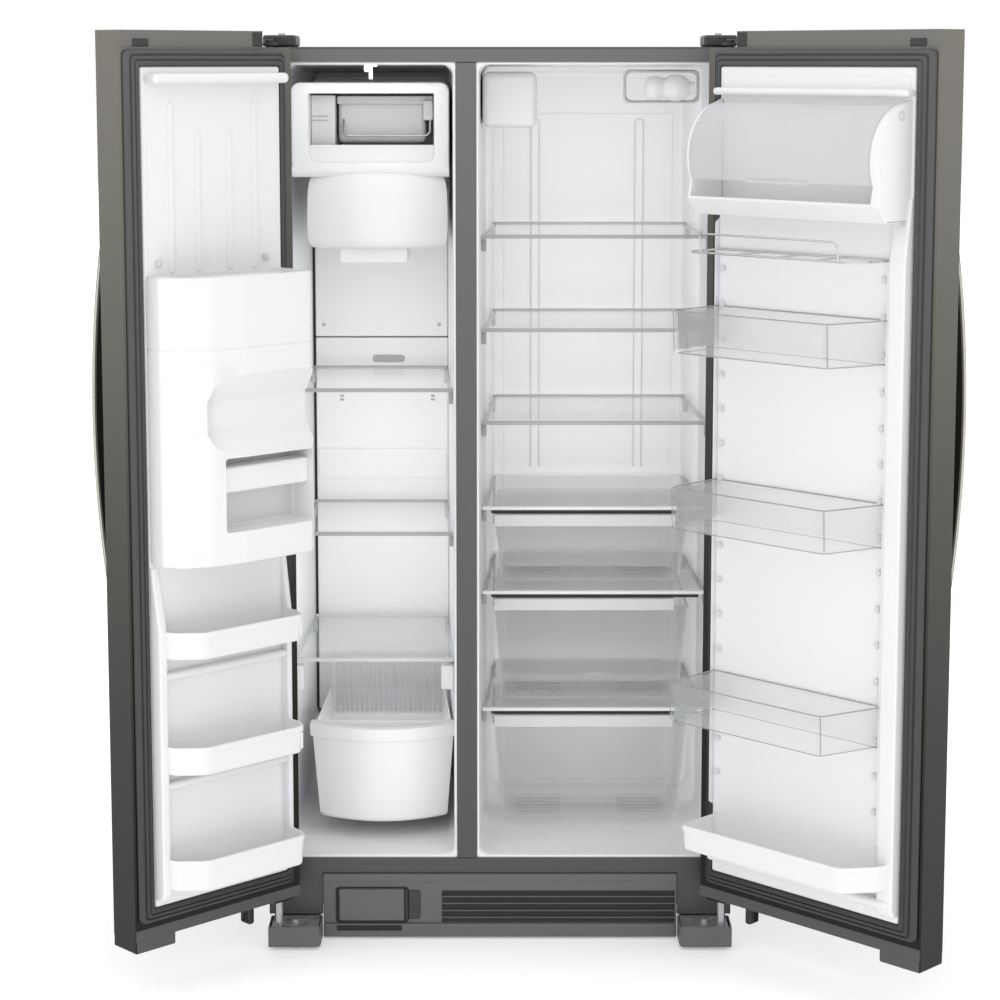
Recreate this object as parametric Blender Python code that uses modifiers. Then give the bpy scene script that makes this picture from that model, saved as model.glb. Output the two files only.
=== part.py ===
"""Side by side refrigerator, 0.91 m wide, with both doors standing open.

Metres, +Z up, the front faces -Y. Every shape is written in the cabinet's frame with the doors closed:
x = 0 at the middle of the cabinet, y = 0 on its front flange and z = 0 on the floor. The doors hang from
empties on their hinge pins, which turn them open, and one empty moves the whole object so that its box is
centred.
"""

import math

import bmesh
import bpy
from mathutils import Matrix, Vector

# Driving dimensions
CABINET_WIDTH = 0.908
CABINET_DEPTH = 0.705
CABINET_TOP = 1.743
HALF = CABINET_WIDTH / 2
SHEET = 0.003
GAP = 0.0003
FREEZER_OPENING = (-0.4255, -0.0835)
FRIDGE_OPENING = (-0.0455, 0.4255)
OPENING_BOTTOM, OPENING_TOP = 0.164, 1.7144
RAIL_BOTTOM = 0.134
LINER_FRONT, LINER_BACK = 0.0043, 0.625
LINER_WALL = 0.0025
MACHINE_FRONT, MACHINE_TOP = 0.500, 0.300
SIDE_TAPER = 0.031
DRAWER_SPAN = (-0.012, 0.376)
BACK_PANEL_FRONT = 0.7015

DOOR_INNER, DOOR_OUTER = -0.013, -0.088
DOOR_BOTTOM, DOOR_TOP = 0.110, 1.7706
FREEZER_FREE, FRIDGE_FREE = -0.0675, -0.0615
PIVOT_X, PIVOT_Y = 0.430, -0.050
FREEZER_OPEN, FRIDGE_OPEN = 136.5, 135.5
DOOR_LINER_FRONT = 0.012
HINGE_NOTCH = 0.068
HINGE_ARM_Z = 1.7446
LINER_BOTTOM, LINER_TOP = 0.170, 1.707

GRILLE_HALF = 0.3475
FOOT_DEPTH = 0.065

# Middle of the whole object's box in the cabinet's frame
BOX_CENTRE = (0.0446, 0.1200)

WHITE = (0.90, 0.91, 0.92)
CLEAR = (0.86, 0.90, 0.92)
STEEL = (0.27, 0.26, 0.24)
GREY = (0.16, 0.16, 0.165)
DARK = (0.08, 0.08, 0.085)
METAL = (0.62, 0.62, 0.63)
COPPER = (0.70, 0.42, 0.28)
FOAM = (0.90, 0.83, 0.62)


# --- scene -----------------------------------------------------------------------------------------

for old in list(bpy.data.objects):
    bpy.data.objects.remove(old, do_unlink=True)

parts = bpy.data.collections.new("side_by_side_refrigerator")
tools = bpy.data.collections.new("cutters")
tools.hide_render = True
bpy.context.scene.collection.children.link(parts)
bpy.context.scene.collection.children.link(tools)


def empty(name, place, parent=None, turn=0.0):
    pin = bpy.data.objects.new(name, None)
    pin.empty_display_size = 0.05
    pin.location = place
    pin.rotation_euler = (0.0, 0.0, math.radians(turn))
    pin.parent = parent
    parts.objects.link(pin)
    return pin


cabinet = empty("cabinet_frame", (-BOX_CENTRE[0], -BOX_CENTRE[1], 0.0))
freezer_door = empty("freezer_door_hinge", (-PIVOT_X, PIVOT_Y, 0.0), cabinet, -FREEZER_OPEN)
fridge_door = empty("fridge_door_hinge", (PIVOT_X, PIVOT_Y, 0.0), cabinet, FRIDGE_OPEN)
PIVOTS = {cabinet: (0.0, 0.0), freezer_door: (-PIVOT_X, PIVOT_Y), fridge_door: (PIVOT_X, PIVOT_Y)}


# --- shapes ----------------------------------------------------------------------------------------


def block(x, y, z, bevel=0.0, segments=2, along=None):
    """A box between limits. The bevel takes all edges, or only those that run along one axis."""
    shape = bmesh.new()
    bmesh.ops.create_cube(shape, size=1.0)
    bmesh.ops.scale(shape, vec=[high - low for low, high in (x, y, z)], verts=shape.verts)
    bmesh.ops.translate(shape, vec=[(low + high) / 2 for low, high in (x, y, z)], verts=shape.verts)
    if bevel:
        axis = None if along is None else "xyz".index(along)
        edges = [edge for edge in shape.edges if axis is None or runs_along(edge, axis)]
        bmesh.ops.bevel(shape, geom=edges, offset=bevel, segments=segments, profile=0.5, affect="EDGES")
    return shape


def runs_along(edge, axis):
    way = edge.verts[1].co - edge.verts[0].co
    return abs(way[axis]) > 0.99 * way.length


def prism(outline, low, high, axis="z"):
    """A flat outline pushed along an axis. Its points are (y, z), (x, z) or (x, y)."""
    shape = bmesh.new()
    index = "xyz".index(axis)
    corners = []
    for point in outline:
        place = list(point)
        place.insert(index, low)
        corners.append(shape.verts.new(place))
    face = shape.faces.new(corners)
    pushed = bmesh.ops.extrude_face_region(shape, geom=[face])["geom"]
    step = Vector((0.0, 0.0, 0.0))
    step[index] = high - low
    bmesh.ops.translate(shape, vec=step, verts=[item for item in pushed if isinstance(item, bmesh.types.BMVert)])
    bmesh.ops.recalc_face_normals(shape, faces=shape.faces)
    return shape


def rod(start, end, radius, sides=12, end_radius=None):
    """A cylinder or a cone between two points."""
    start, end = Vector(start), Vector(end)
    shape = bmesh.new()
    tip = radius if end_radius is None else end_radius
    bmesh.ops.create_cone(
        shape, cap_ends=True, segments=sides, radius1=radius, radius2=tip, depth=(end - start).length
    )
    turn = (end - start).to_track_quat("Z", "Y").to_matrix()
    bmesh.ops.rotate(shape, cent=(0, 0, 0), matrix=turn, verts=shape.verts)
    bmesh.ops.translate(shape, vec=(start + end) / 2, verts=shape.verts)
    return shape


def wire(points, radius, resolution=1, closed=False):
    """A bent rod: a curve with a round bevel and filled caps, made a mesh."""
    curve = bpy.data.curves.new("wire", "CURVE")
    curve.dimensions = "3D"
    curve.bevel_depth = radius
    curve.bevel_resolution = resolution
    curve.use_fill_caps = True
    spline = curve.splines.new("POLY")
    spline.points.add(len(points) - 1)
    spline.use_cyclic_u = closed
    for knot, place in zip(spline.points, points):
        knot.co = (*place, 1.0)
    return frozen(bpy.data.objects.new("wire", curve))


def frozen(helper):
    """The evaluated mesh of a helper object, which is then removed."""
    parts.objects.link(helper)
    bpy.context.view_layer.update()
    mesh = bpy.data.meshes.new_from_object(helper.evaluated_get(bpy.context.evaluated_depsgraph_get()))
    shape = bmesh.new()
    shape.from_mesh(mesh)
    bmesh.ops.remove_doubles(shape, verts=shape.verts, dist=0.00002)
    bpy.data.objects.remove(helper, do_unlink=True)
    bpy.data.meshes.remove(mesh)
    return shape


def lathed(profile, base, way, steps=20):
    """A turned shape: (height, radius) points spun about an axis that leaves the base point one way."""
    mesh = bpy.data.meshes.new("profile")
    points = [(radius, 0.0, height) for height, radius in profile]
    mesh.from_pydata(points, [(i, i + 1) for i in range(len(points) - 1)], [])
    helper = bpy.data.objects.new("profile", mesh)
    spin = helper.modifiers.new("spin", "SCREW")
    spin.steps = spin.render_steps = steps
    spin.use_merge_vertices = True
    spin.merge_threshold = 0.00001
    shape = frozen(helper)
    turn = Vector(way).to_track_quat("Z", "Y").to_matrix()
    bmesh.ops.rotate(shape, cent=(0, 0, 0), matrix=turn, verts=shape.verts)
    bmesh.ops.translate(shape, vec=base, verts=shape.verts)
    return shape


def walled(shape, thickness, outward=False):
    """An open surface given a wall with Solidify."""
    mesh = bpy.data.meshes.new("wall")
    shape.to_mesh(mesh)
    shape.free()
    helper = bpy.data.objects.new("wall", mesh)
    wall = helper.modifiers.new("wall", "SOLIDIFY")
    wall.thickness = thickness
    wall.offset = 1.0 if outward else -1.0
    wall.use_even_offset = True
    return frozen(helper)


def without_faces(shape, facing):
    """Removes the flat faces that look one way, such as a lid."""
    facing = Vector(facing)
    shape.faces.ensure_lookup_table()
    gone = [face for face in shape.faces if face.normal.dot(facing) > 0.99]
    reach = max(face.calc_center_median().dot(facing) for face in gone)
    gone = [face for face in gone if face.calc_center_median().dot(facing) > reach - 0.001]
    bmesh.ops.delete(shape, geom=gone, context="FACES")
    return shape


def arc(centre, radius, start, end, steps):
    """Points on a circle between two angles in degrees."""
    turns = [math.radians(start + (end - start) * i / steps) for i in range(steps + 1)]
    return [(centre[0] + radius * math.cos(a), centre[1] + radius * math.sin(a)) for a in turns]


def bow(start, end, height, steps):
    """Points on a shallow arc from start to end that rises by height to its left."""
    chord = math.dist(start, end)
    radius = (chord * chord / 4 + height * height) / (2 * height)
    half_turn = math.asin(min(1.0, chord / (2 * radius)))
    along = Vector(((end[0] - start[0]) / chord, (end[1] - start[1]) / chord))
    left = Vector((-along.y, along.x))
    middle = Vector(((start[0] + end[0]) / 2, (start[1] + end[1]) / 2)) + left * (height - radius)
    turns = [half_turn * (2 * i / steps - 1) for i in range(steps + 1)]
    return [tuple(middle + along * radius * math.sin(a) + left * radius * math.cos(a)) for a in turns]


def offset(outline, distance):
    """A convex outline drawn in by a distance on all sides."""
    area = sum(a[0] * b[1] - a[1] * b[0] for a, b in zip(outline, outline[1:] + outline[:1]))
    side = 1.0 if area > 0 else -1.0
    moved = []
    count = len(outline)
    for i, point in enumerate(outline):
        before = (Vector(point) - Vector(outline[i - 1])).normalized()
        after = (Vector(outline[(i + 1) % count]) - Vector(point)).normalized()
        inward = Vector((-before.y - after.y, before.x + after.x)) * side
        inward.normalize()
        lean = abs(inward.dot(Vector((-after.y, after.x))))
        moved.append(tuple(Vector(point) + inward * distance / max(lean, 0.3)))
    return moved


def tub(outline, low, high, wall=0.0025, shrink=0.0):
    """An open-topped tray on a plan outline; its floor can be smaller than its rim."""
    shape = prism(outline, low, high)
    if shrink:
        floor = offset(outline, shrink)
        for corner in shape.verts:
            if corner.co.z < (low + high) / 2:
                nearest = min(range(len(outline)), key=lambda i: math.dist(outline[i], corner.co.xy))
                corner.co.xy = floor[nearest]
    return walled(without_faces(shape, (0, 0, 1)), wall)


# --- nodes -----------------------------------------------------------------------------------------


def node(name, look, solids, holes=(), body=cabinet, origin=(0.0, 0.0, 0.0)):
    """One piece: its first solid, with the others joined to it and the holes cut from it."""
    colour, roughness, metallic = look
    skin = bpy.data.materials.new(name)
    skin.use_nodes = True
    shader = skin.node_tree.nodes["Principled BSDF"]
    shader.inputs["Base Color"].default_value = (*colour, 1.0)
    shader.inputs["Roughness"].default_value = roughness
    shader.inputs["Metallic"].default_value = metallic
    skin.diffuse_color = (*colour, 1.0)
    piece = placed(name, solids[0], body, origin, parts)
    piece.data.materials.append(skin)
    shapes = [("UNION", shape) for shape in solids[1:]] + [("DIFFERENCE", shape) for shape in holes]
    for number, (operation, shape) in enumerate(shapes):
        helper = placed(f"{name}_tool_{number}", shape, body, origin, tools)
        helper.hide_render = True
        helper.display_type = "WIRE"
        step = piece.modifiers.new(f"{operation.lower()}_{number}", "BOOLEAN")
        step.operation = operation
        step.solver = "EXACT"
        step.object = helper
    piece.data.set_sharp_from_angle(angle=math.radians(35))
    return piece


def placed(name, shape, body, origin, collection):
    mesh = bpy.data.meshes.new(name)
    bmesh.ops.translate(shape, vec=[-value for value in origin], verts=shape.verts)
    bmesh.ops.recalc_face_normals(shape, faces=shape.faces)
    for face in shape.faces:
        face.smooth = True
    shape.to_mesh(mesh)
    shape.free()
    thing = bpy.data.objects.new(name, mesh)
    pivot = PIVOTS[body]
    thing.location = (origin[0] - pivot[0], origin[1] - pivot[1], origin[2])
    thing.parent = body
    collection.objects.link(thing)
    return thing


# --- cabinet ---------------------------------------------------------------------------------------


def cavity(opening, grow=0.0, radius=0.012):
    """The room inside a liner: it narrows to the back, and steps up over the machine compartment."""
    bottom, top = OPENING_BOTTOM - grow, OPENING_TOP + grow
    step_y, step_z = MACHINE_FRONT - 0.006 + grow, MACHINE_TOP + 0.006 - grow
    back = LINER_BACK + grow
    profile = [
        (LINER_FRONT, bottom), (step_y, bottom), (step_y, step_z),
        (back, step_z), (back, top - 0.02), (LINER_FRONT, top),
    ]
    shape = prism(profile, opening[0] - grow, opening[1] + grow, axis="x")
    middle = sum(opening) / 2
    for corner in shape.verts:
        inset = SIDE_TAPER * (corner.co.y - LINER_FRONT) / (LINER_BACK - LINER_FRONT)
        corner.co.x += inset if corner.co.x < middle else -inset
    inner = [edge for edge in shape.edges if max(end.co.y for end in edge.verts) > LINER_FRONT + 0.001]
    bmesh.ops.bevel(shape, geom=inner, offset=radius, segments=2, profile=0.5, affect="EDGES")
    return shape


def liner(opening):
    return walled(without_faces(cavity(opening), (0, -1, 0)), LINER_WALL, outward=True)


def back_rib(x, bottom, top, width=0.017, depth=0.004):
    """A round-topped rib on the back wall of the fresh food liner."""
    outline = [(x - width / 2, bottom), (x + width / 2, bottom)]
    outline += arc((x, top), width / 2, 0, 180, 6)
    return prism(outline, LINER_BACK - depth, LINER_BACK + LINER_WALL / 2, axis="y")


def make_cabinet():
    inner = HALF - SHEET
    node(
        "cabinet_shell", (STEEL, 0.45, 0.6),
        [block((-HALF, HALF), (0, CABINET_DEPTH), (0.048, CABINET_TOP), 0.003, 1, "y")],
        [block((-inner, inner), (-0.1, 1), (-1, CABINET_TOP - SHEET))],
    )
    fit = inner - GAP
    corner = (GRILLE_HALF + 0.001, fit)
    node(
        "front_frame", (GREY, 0.5, 0.4),
        [block((-fit, fit), (0, 0.004), (0.05, CABINET_TOP - SHEET - GAP))],
        [
            block(FREEZER_OPENING, (-1, 1), (OPENING_BOTTOM, OPENING_TOP)),
            block(FRIDGE_OPENING, (-1, 1), (OPENING_BOTTOM, OPENING_TOP)),
            block((-corner[0], corner[0]), (-1, 1), (0, RAIL_BOTTOM)),
        ],
    )
    node("back_panel", (METAL, 0.5, 0.7), [
        block((-fit, fit), (BACK_PANEL_FRONT, CABINET_DEPTH), (MACHINE_TOP + 0.004, CABINET_TOP - SHEET - GAP)),
    ])
    clip = block((-0.262, -0.25), (0.10, 0.13), (1.6955, 1.7122), 0.002, 1)
    node("freezer_liner", (WHITE, 0.3, 0.0), [liner(FREEZER_OPENING), clip])
    ribs = [back_rib(x, 0.80, 1.585) for x in (0.0755, 0.298)]
    panel = block((0.008, 0.37), (LINER_BACK - 0.002, LINER_BACK + 0.001), (0.45, 1.605), 0.0008, 1)
    node("fridge_liner", (WHITE, 0.3, 0.0), [liner(FRIDGE_OPENING), panel, *ribs])
    grow = LINER_WALL + 2 * GAP
    node(
        "foam_insulation", (FOAM, 0.9, 0.0),
        [block((-fit, fit), (LINER_FRONT + GAP, BACK_PANEL_FRONT - GAP), (RAIL_BOTTOM, CABINET_TOP - SHEET - GAP))],
        [
            *(cavity(opening, grow, 0.011) for opening in (FREEZER_OPENING, FRIDGE_OPENING)),
            block((-1, 1), (MACHINE_FRONT, 1), (0, MACHINE_TOP)),
            *(block((low - grow, high + grow), (-1, 0.02), (OPENING_BOTTOM - grow, OPENING_TOP + grow))
              for low, high in (FREEZER_OPENING, FRIDGE_OPENING)),
        ],
    )


def make_base():
    rail = HALF - SHEET - GAP
    feet = [rod((side * 0.37, 0.62, 0), (side * 0.37, 0.62, 0.05), 0.018, 16) for side in (-1, 1)]
    walls = [block((-rail, rail), (MACHINE_FRONT - 0.003, MACHINE_FRONT), (0.04, RAIL_BOTTOM - GAP))]
    for side in (-1, 1):
        sides = sorted((side * rail, side * (rail - 0.003)))
        walls.append(block(sides, (0.06, 0.69), (0.049, RAIL_BOTTOM - GAP)))
    tray = block((-rail, rail), (0.06, 0.69), (0.0485, 0.052))
    node("base_frame", (METAL, 0.5, 0.8), [tray, *feet, *walls])
    louvre = [
        block((-0.114, 0.346), (-1, 1), (0.0355 + 0.0130 * i, 0.0450 + 0.0130 * i)) for i in range(5)
    ]
    node(
        "base_grille", (GREY, 0.5, 0.2),
        [
            block((-GRILLE_HALF, GRILLE_HALF), (-0.004, 0.012), (0.030, RAIL_BOTTOM - 0.0015), 0.0015, 1),
            block((-GRILLE_HALF + 0.005, GRILLE_HALF - 0.005), (-0.008, 0.012), (0.004, 0.0325), 0.002, 1),
        ],
        [
            *louvre,
            block((-0.3225, -0.155), (-1, 1), (0.0345, 0.105), 0.006, 2, "y"),
            block((-0.322, -0.194), (-0.02, 0.0), (0.0195, 0.029)),
        ],
    )
    node(
        "water_filter", (GREY, 0.45, 0.0),
        [
            block((-0.3215, -0.1830), (-0.010, 0.008), (0.0355, 0.1040), 0.006, 2, "y"),
            block((-0.1850, -0.1560), (-0.007, 0.008), (0.0410, 0.0985), 0.005, 2, "y"),
            rod((-0.2525, 0.007, 0.0702), (-0.2525, 0.24, 0.0702), 0.0165, 16),
        ],
        origin=(-0.2525, 0.0, 0.0702),
    )
    for name, side in (("freezer", -1), ("fridge", 1)):
        make_foot(name, side)


def make_foot(name, side):
    """The bottom hinge with its pin and levelling leg, and the open cover in front of it."""
    low, high = sorted((side * 0.3485, side * 0.451))
    outline = [(low, -FOOT_DEPTH - 0.004), (high, -FOOT_DEPTH - 0.004), (high, -GAP), (low, -GAP)]
    node(f"{name}_foot_cover", (GREY, 0.5, 0.0), [tub(outline, 0.006, 0.0475, 0.003)], [
        rod((side * 0.400, -0.035, -0.01), (side * 0.400, -0.035, 0.02), 0.0215, 20),
        block((low + 0.004, high - 0.004), (-0.01, 0.01), (0.0374, 0.1)),
    ])
    pin = side * PIVOT_X
    plate = sorted((side * 0.3535, side * 0.4455))
    node(
        f"{name}_bottom_hinge", (METAL, 0.35, 0.9),
        [
            block(plate, (-0.0635, 0.058), (0.0380, 0.0445), 0.001, 1),
            block(plate, (0.053, 0.058), (0.038, 0.115), 0.001, 1),
            rod((pin, PIVOT_Y, 0.040), (pin, PIVOT_Y, 0.098), 0.0065, 16),
            rod((side * 0.400, -0.035, 0.0), (side * 0.400, -0.035, 0.008), 0.0185, 20),
            rod((side * 0.400, -0.035, 0.005), (side * 0.400, -0.035, 0.052), 0.006, 12),
        ],
        [block((-0.5, 0.5), (-0.0008, 0.0048), (0.0446, 0.2))],
    )
    arm = sorted((side * 0.415, side * 0.447))
    cover = sorted((side * 0.384, side * 0.447))
    node(
        f"{name}_top_hinge", (DARK, 0.4, 0.5),
        [
            block(arm, (-0.062, 0.10), (HINGE_ARM_Z, HINGE_ARM_Z + 0.006), 0.001, 1),
            block(cover, (0.002, 0.105), (CABINET_TOP + GAP, 1.7652), 0.004, 2),
            rod((pin, PIVOT_Y, 1.712), (pin, PIVOT_Y, HINGE_ARM_Z + 0.012), 0.0065, 16),
        ],
    )


def make_machinery():
    """What sits behind the base: compressor, condenser with its fan, and the rear cover."""
    node("compressor", (DARK, 0.4, 0.3), [
        rod((0.26, 0.60, 0.074), (0.26, 0.60, 0.20), 0.078, 24),
        rod((0.26, 0.60, 0.1995), (0.26, 0.60, 0.232), 0.078, 24, 0.045),
        block((0.175, 0.345), (0.555, 0.645), (0.0525, 0.076), 0.004, 1),
        block((0.165, 0.20), (0.57, 0.62), (0.10, 0.17), 0.005, 1),
    ])
    runs, pitch = 7, 0.030
    points = []
    for i in range(runs):
        y = MACHINE_FRONT + 0.028 if i % 2 else 0.66
        points += [(-0.40 + pitch * i, y, 0.10), (-0.40 + pitch * i, 0.688 - y + MACHINE_FRONT, 0.10)]
    lower = wire(points, 0.004)
    fins = [block((-0.408, -0.212), (0.54 + 0.032 * i, 0.5425 + 0.032 * i), (0.058, 0.142)) for i in range(4)]
    sheet = block((-0.408, -0.212), (0.53, 0.65), (0.0535, 0.0585))
    node("condenser_coil", (METAL, 0.5, 0.8), [lower, *fins, sheet])
    make_fan("condenser_fan", (-0.06, 0.60, 0.165), 0.068, 0.024, "x")
    node(
        "machine_cover", (DARK, 0.7, 0.0),
        [block((-0.444, 0.444), (0.6935, 0.7045), (0.056, MACHINE_TOP - 0.002), 0.002, 1)],
        [
            block((-0.436, 0.436), (0.0, 0.7020), (0.064, MACHINE_TOP - 0.010)),
            *(block((x, x + 0.055), (0.6, 0.8), (0.10 + 0.03 * row, 0.112 + 0.03 * row))
              for x in (-0.40, -0.32, -0.24, -0.16, -0.08) for row in range(4)),
        ],
    )


def make_fan(name, place, radius, depth, axis):
    """Fan blades on a hub; the origin is on the shaft."""
    hub_radius = radius * 0.28
    along = Vector((1, 0, 0)) if axis == "x" else Vector((0, 1, 0))
    centre = Vector(place)
    hub = rod(centre - along * depth / 2, centre + along * depth / 2, hub_radius, 16)
    shapes = [hub]
    for i in range(5):
        blade = block((-depth * 0.45, depth * 0.45), (-0.0011, 0.0011), (hub_radius * 0.8, radius), 0.0005, 1)
        blade_width = radius * 0.62
        for corner in blade.verts:
            corner.co.y += corner.co.x / depth * blade_width
        if axis == "y":
            bmesh.ops.rotate(blade, cent=(0, 0, 0), matrix=turned(90, "Z"), verts=blade.verts)
        bmesh.ops.rotate(blade, cent=(0, 0, 0), matrix=turned(72 * i, axis.upper()), verts=blade.verts)
        bmesh.ops.translate(blade, vec=centre, verts=blade.verts)
        shapes.append(blade)
    node(name, (DARK, 0.5, 0.0), shapes, origin=place)


def turned(degrees, axis):
    return Matrix.Rotation(math.radians(degrees), 3, axis)


# --- freezer compartment ---------------------------------------------------------------------------


def side_walls(opening, y):
    """Where the left and right walls of a compartment are at a depth."""
    taper = SIDE_TAPER * (y - LINER_FRONT) / (LINER_BACK - LINER_FRONT)
    return (opening[0] + taper, opening[1] - taper)


def freezer_side(y):
    return side_walls(FREEZER_OPENING, y)


def fridge_side(y):
    return side_walls(FRIDGE_OPENING, y)


def slab_plan(side, front, back, clearance=0.001):
    """The plan of a shelf that follows the tapering side walls."""
    left_front, right_front = side(front)
    left_back, right_back = side(back)
    return [
        (left_front + clearance, front), (right_front - clearance, front),
        (right_back - clearance, back), (left_back + clearance, back),
    ]


def shelf(side, front, back, top, band=0.012, pane=0.005):
    """A pane with a front band and side rails."""
    plan = slab_plan(side, front, back)
    solids = [prism(plan, top - pane, top)]
    solids.append(prism(slab_plan(side, front, front + 0.012), top - band, top + 0.001))
    left = [plan[0], (plan[0][0] + 0.010, front), (plan[3][0] + 0.010, back), plan[3]]
    right = [plan[1], (plan[1][0] - 0.010, front), (plan[2][0] - 0.010, back), plan[2]]
    solids += [prism(rail, top - band, top - 0.001) for rail in (left, right)]
    return solids


def make_freezer():
    back = 0.545
    node("evaporator_cover", (WHITE, 0.35, 0.0), [
        prism(slab_plan(freezer_side, back, back + 0.003), 0.3190, 1.680),
        block((-0.33, -0.18), (back - 0.012, back + 0.002), (1.00, 1.30), 0.004, 2),
    ], [
        *(block((-0.32, -0.19), (0.4, 0.7), (1.05 + 0.028 * i, 1.062 + 0.028 * i)) for i in range(8)),
    ])
    left, right, spacing = -0.375, -0.135, 0.05
    heights = [0.34 + spacing * i for i in range(6)]
    runs = [rod((left, 0.585, z), (right, 0.585, z), 0.0042, 10) for z in heights]
    for number, z in enumerate(heights[:-1]):
        x = left + 0.006 if number % 2 else right - 0.006
        runs.append(rod((x, 0.585, z), (x, 0.585, z + spacing), 0.0036, 10))
    fins = [block((x, x + 0.0012), (0.562, 0.608), (0.325, 0.605)) for x in (-0.35, -0.30, -0.255, -0.21, -0.16)]
    node("evaporator_coil", (METAL, 0.4, 0.9), [*runs, *fins])
    make_fan("evaporator_fan", (-0.255, 0.585, 0.86), 0.055, 0.022, "y")

    for number, top in (("upper", 1.073), ("lower", 0.784)):
        node(f"{number}_freezer_shelf", (CLEAR, 0.2, 0.0), shelf(freezer_side, 0.150, back - 0.014, top, 0.015))
    node("freezer_drawer_cover", (CLEAR, 0.2, 0.0), shelf(freezer_side, 0.125, back - 0.014, 0.5333, 0.015))

    left, right = -0.376, -0.093
    front = bow((left, 0.130), (right, 0.130), -0.048, 10)
    plan = front + [(right - 0.024, 0.46), (left + 0.012, 0.46)]
    drawer = tub(plan, 0.205, 0.40, 0.003, 0.014)
    lip = prism(front + [(right, 0.138), (left, 0.138)], 0.386, 0.402)
    node(
        "freezer_drawer", (WHITE, 0.3, 0.0), [drawer, lip], [prism(offset(plan, 0.012), 0.30, 0.42)],
        origin=(-0.2545, 0.12, 0.205),
    )


def make_ice_maker():
    left, right = freezer_side(0.18)
    left, right = left + 0.012, right - 0.010
    outer = slab_plan(freezer_side, 0.148, 0.50, 0.010)
    node(
        "ice_housing", (WHITE, 0.3, 0.0),
        [
            prism(outer, 1.510, 1.674),
            block((left - 0.003, right + 0.003), (0.144, 0.158), (1.664, 1.676), 0.003, 1),
        ],
        [
            prism(slab_plan(freezer_side, 0.151, 0.49, 0.013), 1.40, 1.671),
            block((left + 0.032, right - 0.027), (0.0, 0.30), (1.535, 1.640), 0.006, 2, "y"),
        ],
    )
    node("ice_maker", (GREY, 0.5, 0.0), [
        block((left + 0.02, right - 0.02), (0.24, 0.42), (1.575, 1.640), 0.006, 2),
        block((left + 0.03, left + 0.06), (0.225, 0.25), (1.56, 1.625), 0.004, 1),
        wire([(right - 0.045, 0.238, 1.60), (right - 0.045, 0.215, 1.575), (left + 0.08, 0.215, 1.575),
              (left + 0.08, 0.245, 1.60)], 0.002),
    ])
    plan_left, plan_right = -0.379, right - 0.001
    front = bow((plan_left, 0.170), (plan_right, 0.170), -0.036, 8)
    plan = front + [(plan_right - 0.012, 0.47), (plan_left + 0.012, 0.47)]
    chute = block((-0.315, -0.182), (0.160, 0.30), (1.321, 1.356), 0.006, 2)
    node(
        "ice_bin", (WHITE, 0.3, 0.0),
        [tub(plan, 1.351, 1.5080, 0.003, 0.008), chute],
        [block((-0.29, -0.207), (0.18, 0.28), (1.30, 1.40), 0.004, 1)],
        origin=(-0.2545, 0.15, 1.351),
    )


# --- fresh food compartment ------------------------------------------------------------------------


def make_fridge():
    front, back = 0.152, 0.560
    for number, top in (("upper", 1.3772), ("middle", 1.1923), ("lower", 1.0073)):
        node(f"{number}_glass_shelf", (CLEAR, 0.15, 0.0), shelf(fridge_side, front, back, top, 0.022))
    for name, top in (("deli_cover", 0.8365), ("crisper_cover", 0.6657), ("lower_crisper_cover", 0.4262)):
        node(name, (CLEAR, 0.15, 0.0), shelf(fridge_side, front - 0.004, back, top, 0.024))
    drawers = (
        ("deli_drawer", 0.680, 0.806, 0.540, 0.014),
        ("upper_crisper", 0.4370, 0.636, 0.540, 0.018),
        ("lower_crisper", 0.191, 0.397, 0.478, 0.018),
    )
    for name, low, high, depth, shrink in drawers:
        left, right = DRAWER_SPAN
        left_back, right_back = left + 0.005, right - 0.005
        plan = [(left, front + 0.004), (right, front + 0.004), (right_back, depth), (left_back, depth)]
        body = tub(plan, low, high, 0.0025, shrink)
        grip = block((left, right), (front - 0.006, front + 0.006), (high - 0.022, high), 0.002, 1)
        rails = [
            block((left - 0.006, left + 0.004), (front + 0.003, depth - 0.02), (high - 0.010, high - 0.004)),
            block((right - 0.004, right + 0.006), (front + 0.003, depth - 0.02), (high - 0.010, high - 0.004)),
        ]
        node(name, (CLEAR, 0.1, 0.0), [body, grip, *rails], origin=(sum(FRIDGE_OPENING) / 2, front, low))

    left = fridge_side(0.235)[0]
    node("control_housing", (WHITE, 0.35, 0.0), [
        block((left + 0.001, 0.0713), (0.115, 0.235), (1.5885, 1.6955), 0.008, 3, "y"),
    ], [
        *(block((0.060, 0.08), (0.0, 0.145), (1.618 + 0.016 * i, 1.626 + 0.016 * i)) for i in range(3)),
    ])
    bulb = [
        (0.0, 0.0), (0.0, 0.028), (0.020, 0.028), (0.024, 0.013), (0.050, 0.013), (0.058, 0.022),
        (0.072, 0.027), (0.090, 0.026), (0.106, 0.018), (0.114, 0.0),
    ]
    node("fridge_lamp", (WHITE, 0.2, 0.0), [
        lathed(bulb, (0.372, 0.15, 1.665), (-1, 0, 0)),
        block((0.360, 0.385), (0.11, 0.19), (1.655, 1.706), 0.006, 2),
    ])


# --- doors -----------------------------------------------------------------------------------------


class Door:
    """Places on a closed door: `across` runs from its free edge to the hinge, `rise` inward from its face."""

    def __init__(self, name, free, side, body):
        self.name, self.free, self.side, self.body = name, free, side, body
        self.width = abs(side * HALF - free)

    def x(self, across):
        return self.free + self.side * across

    def span(self, near, far):
        return tuple(sorted((self.x(near), self.x(far))))

    def y(self, rise):
        return DOOR_INNER + rise

    def plan(self, points):
        return [(self.x(across), self.y(rise)) for across, rise in points]


FREEZER = Door("freezer_door", FREEZER_FREE, -1, freezer_door)
FRIDGE = Door("fridge_door", FRIDGE_FREE, 1, fridge_door)


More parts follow.
